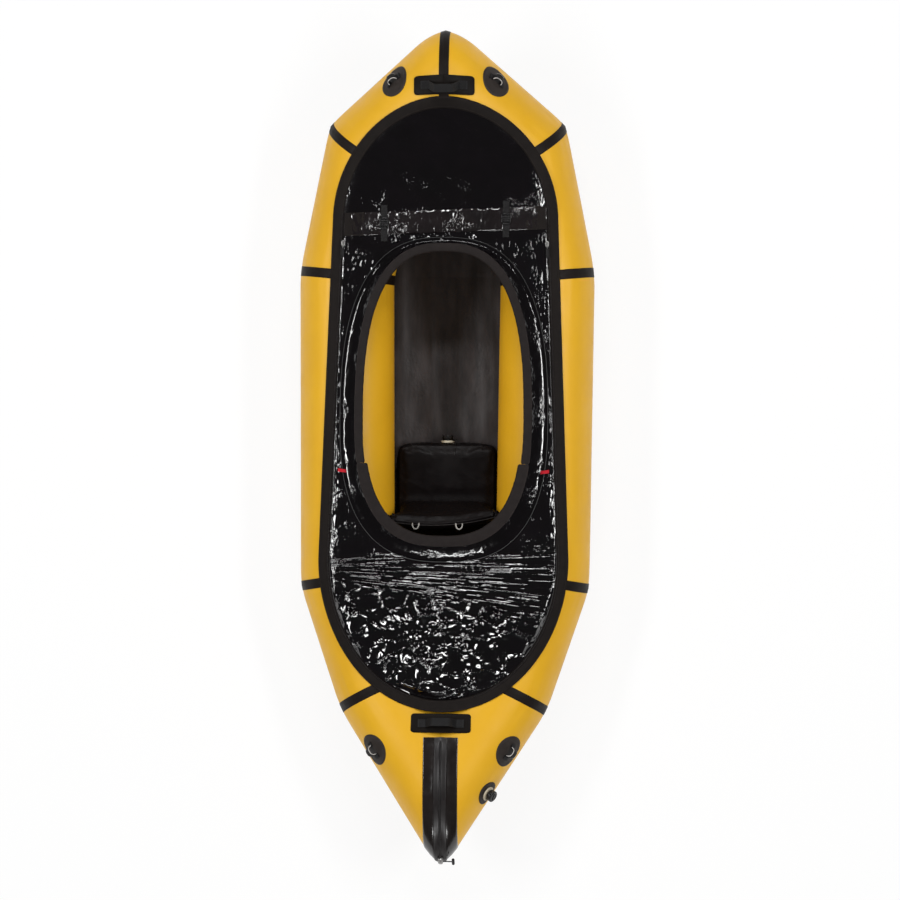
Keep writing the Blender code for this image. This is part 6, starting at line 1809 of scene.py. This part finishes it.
        make.piece("cargo_pull_grip", make.loft(np.array(rows)), make.wardrobe.black, body="cargo_pull",
                   stands_for="cargo_zip_pull", crease=35)


@dataclass(frozen=True)
class MainValve:
    """The main valve: rubber patch, lipped body, seal ring and knurled screw cap."""

    patch_radius: float = 0.038
    along: float = 0.050
    lean: float = 64.0

    def build(self, make: Maker, form: RaftForm) -> None:
        """Adds the valve on the starboard side of the stern."""
        site = Site(form.last - 1, form.last, self.along, self.lean)
        GrabLoops.patch(make, form, "valve_rubber_patch", "main_valve_patch", Side.STARBOARD, site,
                        self.patch_radius, 0.0023)
        place, axis, _ = form.spot(site, 0.0009 + 0.0014 + 0.0003)
        body = [(0.0, -0.0004), (0.0222, -0.0004), (0.0226, 0.0012), (0.0222, 0.0030), (0.0212, 0.0040),
                (0.0196, 0.0044), (0.0180, 0.0038), (0.0174, 0.0032), (0.0150, 0.0032), (0.0146, 0.0043),
                (0.0120, 0.0043), (0.0120, 0.0153), (0.0080, 0.0153), (0.0080, 0.0026), (0.0, 0.0026)]
        make.piece("valve_body_lipped", make.turned(body, place, axis, 96), make.wardrobe.beige,
                   stands_for="main_valve_body", crease=50)
        low = 0.0046
        seal = [(0.0138 + 0.0012 * math.cos(a), low + 0.0011 + 0.0011 * math.sin(a)) for a in full_turn(12)]
        make.piece("valve_seal_ring", make.turned(seal, place, axis, 72), make.wardrobe.seal, body="valve_seal",
                   stands_for="main_valve_seal")
        low = 0.0071
        cap = [(0.0126, low), (0.0164, low), (0.0174, low + 0.0008), (0.0176, low + 0.0020), (0.0176, low + 0.0135),
               (0.0170, low + 0.0150), (0.0158, low + 0.0160), (0.0140, low + 0.0165), (0.0128, low + 0.0163),
               (0.0118, low + 0.0152), (0.0, low + 0.0150), (0.0, 0.0159), (0.0126, 0.0159)]
        make.piece("valve_cap_knurled", make.turned(cap, place, axis, 224, wave=28, depth=0.0013, beyond=0.0162),
                   make.wardrobe.black, body="valve_cap", stands_for="main_valve_cap", crease=45)
        side = unit(np.cross(axis, Y_AXIS))
        bar = place + axis * (low + 0.0150)
        other = np.cross(axis, side)
        rings = []
        outline = make.rounded(0.0044, 0.0205, 32, 4.0, shift=0.0)
        for z, share in ((0.0, 1.0), (0.0012, 1.0), (0.0019, 0.86), (0.0021, 0.55)):
            flat = outline * np.array([share, 1 - (1 - share) * 0.25])
            rings.append(bar + flat[:, :1] * side + flat[:, 1:] * other + z * axis)
        make.piece("valve_cap_grip_bar", make.loft(rings), make.wardrobe.black, body="valve_cap")


@dataclass(frozen=True)
class Air:
    """Swells padded pieces with a short cloth simulation."""

    voxel: float = 0.005
    pressure: float = 4.0
    frames: int = 20

    def swell(self, obj: bpy.types.Object, cap: float) -> None:
        """Remeshes a closed piece evenly, blows it up and keeps the result as its mesh.

        Args:
            obj: the piece.
            cap: how far a point may move.
        """
        scene = bpy.context.scene
        remesh = obj.modifiers.new("Even", "REMESH")
        remesh.mode = "VOXEL"
        remesh.voxel_size = self.voxel
        self.keep(obj)
        rest = self.read(obj.data)
        cloth = obj.modifiers.new("Air", "CLOTH")
        cloth.settings.quality = 6
        cloth.settings.use_pressure = True
        cloth.settings.uniform_pressure_force = self.pressure
        cloth.settings.effector_weights.gravity = 0.0
        cloth.point_cache.frame_start = 1
        cloth.point_cache.frame_end = self.frames
        for frame_number in range(1, self.frames + 1):
            scene.frame_set(frame_number)
        self.keep(obj)
        scene.frame_set(1)
        move = self.read(obj.data) - rest
        reach = np.maximum(np.linalg.norm(move, axis=1, keepdims=True), 1e-9)
        self.write(obj.data, rest + move * np.minimum(1.0, cap / reach))
        smooth = obj.modifiers.new("Smooth", "SUBSURF")
        smooth.levels = smooth.render_levels = 1
        self.keep(obj)
        LOG.info("%s: moved %.1f mm at most", obj.name, float(np.minimum(reach, cap).max()) * 1000)

    @staticmethod
    def keep(obj: bpy.types.Object) -> None:
        """Puts the evaluated mesh in place of the piece's own and drops its modifiers."""
        graph = bpy.context.evaluated_depsgraph_get()
        mesh = bpy.data.meshes.new_from_object(obj.evaluated_get(graph), depsgraph=graph)
        old, obj.data = obj.data, mesh
        mesh.name = obj.name
        if not mesh.materials:
            mesh.materials.append(old.materials[0])
        obj.modifiers.clear()
        mesh.shade_smooth()

    @staticmethod
    def read(mesh: bpy.types.Mesh) -> Array:
        """A mesh's points."""
        flat = np.empty(len(mesh.vertices) * 3)
        mesh.vertices.foreach_get("co", flat)
        return flat.reshape(-1, 3)

    @staticmethod
    def write(mesh: bpy.types.Mesh, points: Array) -> None:
        """Sets a mesh's points."""
        mesh.vertices.foreach_set("co", np.ascontiguousarray(points).ravel())
        mesh.update()


@dataclass(frozen=True)
class SeatSet:
    """The inflatable seat with its valve, and the padded backrest with its cord loops."""

    half_width: float = 0.161
    front: float = 0.022
    back: float = -0.235
    foot: float = 0.0012
    height: float = 0.096
    crown: float = 0.014
    backrest_height: float = 0.165
    backrest_depth: float = 0.042
    hinge: tuple[float, float, float] = (0.0, -0.182, 0.110796)
    lean: float = math.radians(13.0)
    power: float = 10.0

    def build(self, make: Maker, _form: RaftForm) -> None:
        """Adds seat, valve, backrest and cord."""
        seat = self.seat(make)
        self.valve(make)
        self.tether(make, seat)
        pad = self.backrest(make)
        self.piping(make, pad)
        self.cord(make)

    def seat(self, make: Maker) -> bpy.types.Object:
        """A full cushion, swollen by its air, with a welded border line and a soft dip across it."""
        middle = (self.front + self.back) / 2
        reach = (self.front - self.back) / 2
        count = 160
        px, py = squared(full_turn(count), 2 / self.power)
        px, py = self.half_width * px, reach * py
        wall = self.height - self.crown
        rings = [np.column_stack([px * share, middle + py * share, np.full(count, self.foot)])
                 for share in (0.02, 0.5, 0.9)]
        for up in np.linspace(0.0, 1.0, 12):
            share = 1 - (0.004 + 0.008 * (1 - math.sin(math.pi * up))) / self.half_width
            rings.append(np.column_stack([px * share, middle + py * share, np.full(count, self.foot + up * wall)]))
        for share in np.linspace(0.96, 0.02, 14):
            x, y = px * share, py * share
            full = np.clip(1 - (x / self.half_width) ** 2, 0, 1) * np.clip(1 - (y / reach) ** 2, 0, 1)
            rings.append(np.column_stack([x, middle + y, self.foot + wall + (self.crown - 0.006) * full**0.5]))
        seat = make.piece("seat_cushion", make.loft(rings), make.wardrobe.seat, stands_for="seat", crease=80,
                          padded=0.85)
        Air().swell(seat, 0.006)
        points = Air.read(seat.data)
        points[:, 0] *= self.half_width / np.abs(points[:, 0]).max()
        x, y, z = points[:, 0], points[:, 1] - middle, points[:, 2]
        share = (np.abs(x / self.half_width) ** self.power + np.abs(y / reach) ** self.power) ** (1 / self.power)
        top = ease((z - self.foot - wall * 0.7) / 0.02)
        z = z - top * (0.0009 * ridge_at(share, 0.93, 0.012) + 0.0030 * ridge_at(y, -0.036, 0.016))
        z = z + top * 0.0014 * ripple_at(x * 0.5, y, 0.055)
        side = 0.0028 * ridge_at(z, self.foot + wall * 0.5, 0.0035) * ease((share - 0.9) / 0.05)
        x = x * (1 - side / self.half_width)
        y = np.clip(y * (1 - side / reach), self.back - middle, self.front - middle - 0.0006)
        Air.write(seat.data, np.column_stack([x, y + middle, np.clip(z, self.foot, self.foot + self.height)]))
        return seat

    def valve(self, make: Maker) -> None:
        """The seat's valve body, pull-off cap and the tether that keeps them together."""
        place = np.array([0.0, self.front + 0.0003, 0.0388])
        body = [(0.0, -0.0040), (0.0190, -0.0040), (0.0210, 0.0), (0.0208, 0.0020), (0.0195, 0.0030), (0.0135, 0.0034),
                (0.0110, 0.0040), (0.0110, 0.0170), (0.0075, 0.0170), (0.0075, 0.0030), (0.0, 0.0030)]
        make.piece("seat_valve_flange", make.turned(body, place, Y_AXIS, 72), make.wardrobe.pale,
                   stands_for="seat_valve_body", crease=50)
        cap = [(0.0116, 0.0044), (0.0158, 0.0044), (0.0165, 0.0052), (0.0165, 0.0176), (0.0158, 0.0192),
               (0.0140, 0.0198), (0.0132, 0.0190), (0.0, 0.0190), (0.0, 0.0177), (0.0116, 0.0177)]
        make.piece("seat_cap_ribbed", make.turned(cap, place, Y_AXIS, 144, wave=24, depth=0.0009, beyond=0.0160),
                   make.wardrobe.black, body="seat_cap", stands_for="seat_valve_cap", crease=45)

    def tether(self, make: Maker, seat: bpy.types.Object) -> None:
        """A thin tether from the valve's rim, out to starboard and back over the seat's front edge."""
        bpy.context.evaluated_depsgraph_get().update()
        knots = [(0.0165, 0.0240, 0.0470), (0.0240, 0.0300, 0.0560), (0.0300, 0.0300, 0.0680), (0.0310, 0.0225, 0.0840)]
        for x, y in ((0.0280, 0.0100), (0.0255, 0.0), (0.0250, -0.0100), (0.0240, -0.0190)):
            hit, place, _, _ = seat.ray_cast(Vector((x, y, 0.3)), Vector((0.0, 0.0, -1.0)))
            knots.append((x, y, (place.z if hit else self.height) + 0.0014))
        path = smoothed(np.array(knots), 60)
        make.piece("seat_valve_tether", make.cable(path, 0.0011, 8), make.wardrobe.black)

    def frame(self) -> tuple[Array, Array, Array]:
        """Hinge line, upward and forward directions of the backrest."""
        return (np.array(self.hinge), np.array([0.0, -math.sin(self.lean), math.cos(self.lean)]),
                np.array([0.0, math.cos(self.lean), math.sin(self.lean)]))

    def backrest(self, make: Maker) -> bpy.types.Object:
        """A padded band, bowed aft, whose upper corners spread over the tubes in small rucks."""
        hinge, up, forward = self.frame()
        radius = self.backrest_depth / 2
        across, through = squared(full_turn(120), 0.45, 0.6)
        rings = []
        for share in np.linspace(0.0, 1.0, 50):
            height = -radius + share * (self.backrest_height + radius + 0.003)
            low = math.sqrt(max(0.0, 1 - min(height / radius, 0.0) ** 2))
            over = max(0.0, height - (self.backrest_height - radius)) / radius
            thick = (radius - 0.004) * min(low, math.sqrt(max(0.0, 1 - min(over, 1.0) ** 2)))
            flare = float(np.clip((share - 0.45) / 0.55, 0.0, 1.0)) ** 2
            x = across * (0.292 + flare * 0.094) / 2
            wing = ease((np.abs(x) - 0.125) / 0.05) * flare
            depth = np.maximum(thick, 0.0055) * (1 - 0.25 * wing)
            rings.append(hinge + height * up + x[:, None] * X_AXIS + (through * depth)[:, None] * forward)
        pad = make.piece("backrest_pad", make.loft(rings), make.wardrobe.seat, body="backrest", stands_for="backrest",
                         crease=80, padded=0.8)
        Air().swell(pad, 0.006)
        points = Air.read(pad.data)
        rel = points - hinge
        x, height, depth = rel[:, 0], rel @ up, rel @ forward
        share = np.clip(height / self.backrest_height, 0.0, 1.0)
        bow = 0.014 * share * (1 - 1.5 * ((x + 0.04) / 0.16) ** 2)
        wing = ease((np.abs(x) - 0.140) / 0.03) * ease((share - 0.45) / 0.3)
        jag = 0.0050 * np.sin(x * 460 + 2 * np.sin(x * 90)) + 0.0040 * np.sin(height * 500 + x * 90)
        line = 0.0030 * ridge_at(share, 0.80, 0.03) + 0.0016 * ripple_at(x, height, 0.045)
        depth = depth - line * np.sign(depth) * ease(np.abs(depth) / 0.01) - np.clip(bow, -0.014, 0.014) + wing * jag
        height = np.minimum(height + wing * jag * 0.9, self.backrest_height)
        Air.write(pad.data, hinge + x[:, None] * X_AXIS + height[:, None] * up + depth[:, None] * forward)
        return pad

    def piping(self, make: Maker, pad: bpy.types.Object) -> None:
        """A thin grey piping along the pad's upper edge, on its after side."""
        hinge, up, forward = self.frame()
        bpy.context.evaluated_depsgraph_get().update()
        knots = []
        for x in np.linspace(-0.172, 0.172, 70):
            start = hinge + 0.2 * up - 0.0160 * forward * (1 - 1.1 * ((x + 0.04) / 0.16) ** 2) + x * X_AXIS
            hit, place, _, _ = pad.ray_cast(Vector(start), Vector(-up))
            if hit and (np.array(place) - hinge) @ up > 0.10:
                knots.append(np.array(place) + 0.0006 * up)
        make.piece("backrest_piping", make.cable(smoothed(np.array(knots), 160), 0.0011, 8)[:2],
                   make.wardrobe.cord_dark, body="backrest")

    def cord(self, make: Maker) -> None:
        """The cord that comes out of the pad's top in two loops, which lie back over it."""
        hinge, up, forward = self.frame()
        base = hinge + (self.backrest_height + 0.0003) * up
        half = np.linspace(0.0, math.pi, 33)
        out = unit(0.45 * up - 0.9 * forward)
        sunk = -0.022 * up + 0.008 * forward
        parts = []
        for x0 in (-0.085, 0.048):
            x = x0 - 0.010 * np.cos(half)
            rise = 0.015 * np.sin(half)
            loop = base + x[:, None] * X_AXIS + rise[:, None] * out - 0.012 * forward
            parts.append(np.vstack([loop[:1] + sunk, loop[:1] + sunk * 0.4, loop, loop[-1:] + sunk * 0.4,
                                    loop[-1:] + sunk]))
        path = smoothed(np.vstack(parts), 220)
        make.piece("backrest_lacing", make.cable(path, 0.002, 12), make.wardrobe.cord, body="backrest",
                   stands_for="backrest_cord")


def smoothed(knots: Array, count: int) -> Array:
    """Points at equal walked distances along knots, softened by a (1, 2, 1)/4 mean."""
    path = places_at(knots, np.linspace(0.0, walk(knots)[-1], count))
    for _ in range(3):
        path[1:-1] = (path[:-2] + 2 * path[1:-1] + path[2:]) / 4
    return path


def ripple_at(x: Array, y: Array, size: float) -> Array:
    """A small fixed crease field, (1 - |sin|)^2 of two crossed waves."""
    first = (1 - np.abs(np.sin((x + 0.4 * y) * math.pi / size + np.sin(y * 40)))) ** 2
    second = (1 - np.abs(np.sin((y - 0.3 * x) * math.pi / (size * 1.7) + np.sin(x * 33)))) ** 2
    return 0.5 * (first + second)


@dataclass(frozen=True)
class Studio:
    """Pale floor, soft lamps and the camera high above, seen nearly straight down."""

    aim: tuple[float, float, float] = (0.0124, -0.0038, 0.147)
    tilt: float = math.radians(2.78)
    distance: float = 8.853
    width: float = 2.781
    roll: float = math.radians(0.45)
    floor_half: float = 9.0

    def camera(self) -> None:
        """The camera, slightly to starboard and rolled a little."""
        data = bpy.data.cameras.new("Camera")
        data.sensor_width = 36.0
        data.lens = 36.0 * self.distance / self.width
        data.clip_end = 60.0
        obj = bpy.data.objects.new("Camera", data)
        bpy.context.scene.collection.objects.link(obj)
        aim = Vector(self.aim)
        eye = aim + Vector((math.sin(self.tilt), 0.0, math.cos(self.tilt))) * self.distance
        back = (eye - aim).normalized()
        right = Vector((0.0, 1.0, 0.0)).cross(back).normalized()
        turned = Matrix.Rotation(self.roll, 4, back) @ Matrix((right, back.cross(right), back)).transposed().to_4x4()
        obj.matrix_world = Matrix.Translation(eye) @ turned
        bpy.context.scene.camera = obj

    def lamps(self) -> None:
        """Four long soft lamps, one along each side of the raft and one beyond either end."""
        spots = (("Port", (-4.0, 0.5, 4.8), 165.0), ("Starboard", (4.0, 0.5, 4.8), 160.0),
                 ("Bow", (0.0, 4.3, 5.0), 150.0), ("Stern", (0.0, -5.2, 3.6), 110.0))
        for name, place, power in spots:
            data = bpy.data.lights.new(name, "AREA")
            data.shape = "RECTANGLE"
            data.size = 3.0
            data.size_y = 0.6
            data.energy = power
            obj = bpy.data.objects.new(name, data)
            bpy.context.scene.collection.objects.link(obj)
            way = Vector((0.0, 0.0, 0.1)) - Vector(place)
            obj.matrix_world = Matrix.Translation(place) @ way.to_track_quat("-Z", "Y").to_matrix().to_4x4()

    def world(self) -> None:
        """Even dim light on the object, and white where the camera looks past it."""
        world = bpy.data.worlds.new("Studio")
        bpy.context.scene.world = world
        world.use_nodes = True
        nodes, links = world.node_tree.nodes, world.node_tree.links
        dim, white = nodes["Background"], nodes.new("ShaderNodeBackground")
        dim.inputs["Strength"].default_value = 0.055
        mix = nodes.new("ShaderNodeMixShader")
        links.new(nodes.new("ShaderNodeLightPath").outputs["Is Camera Ray"], mix.inputs["Fac"])
        for index, back in enumerate((dim, white)):
            back.inputs["Color"].default_value = (1.0, 1.0, 1.0, 1.0)
            links.new(back.outputs["Background"], mix.inputs[index + 1])
        links.new(mix.outputs["Shader"], nodes["World Output"].inputs["Surface"])

    def floor(self) -> None:
        """A wide pale floor that shows white and keeps the shadow."""
        ink = Ink("StudioFloor", "", (0.93, 0.93, 0.93), 0.9)
        rays = ink.node("LightPath").outputs
        seen = ink.maths("MAXIMUM", rays["Is Camera Ray"], rays["Is Glossy Ray"])
        seen = ink.times(ink.maths("MAXIMUM", seen, rays["Is Transmission Ray"]), 0.86)
        glow = ink.node("Emission").outputs["Emission"]
        mix = ink.node("MixShader", {0: seen, 1: ink.shader.outputs["BSDF"], 2: glow})
        ink.fill(ink.nodes["Material Output"], {"Surface": mix.outputs["Shader"]})
        mesh = bpy.data.meshes.new("StudioFloor")
        corners = [(x * self.floor_half, y * self.floor_half, -0.001) for x, y in ((-1, -1), (1, -1), (1, 1), (-1, 1))]
        mesh.from_pydata(corners, [], [(0, 1, 2, 3)])
        mesh.materials.append(ink.material)
        obj = bpy.data.objects.new("StudioFloor", mesh)
        bpy.context.scene.collection.objects.link(obj)

    def build(self) -> None:
        """Adds the studio and sets the view transform."""
        self.camera()
        self.lamps()
        self.world()
        self.floor()
        bpy.context.scene.view_settings.view_transform = "Standard"


def main() -> None:
    """Builds the studio and every piece."""
    logging.basicConfig(level=logging.INFO, format="%(name)s %(message)s")
    Studio().build()
    form = RaftForm()
    make = Maker(Wardrobe())
    for part in (Hull(), Deck(), Coaming(), Fastenings(), GrabLoops(), Handles(), CargoZip(), MainValve(), SeatSet()):
        part.build(make, form)


if __name__ == "__main__":
    main()
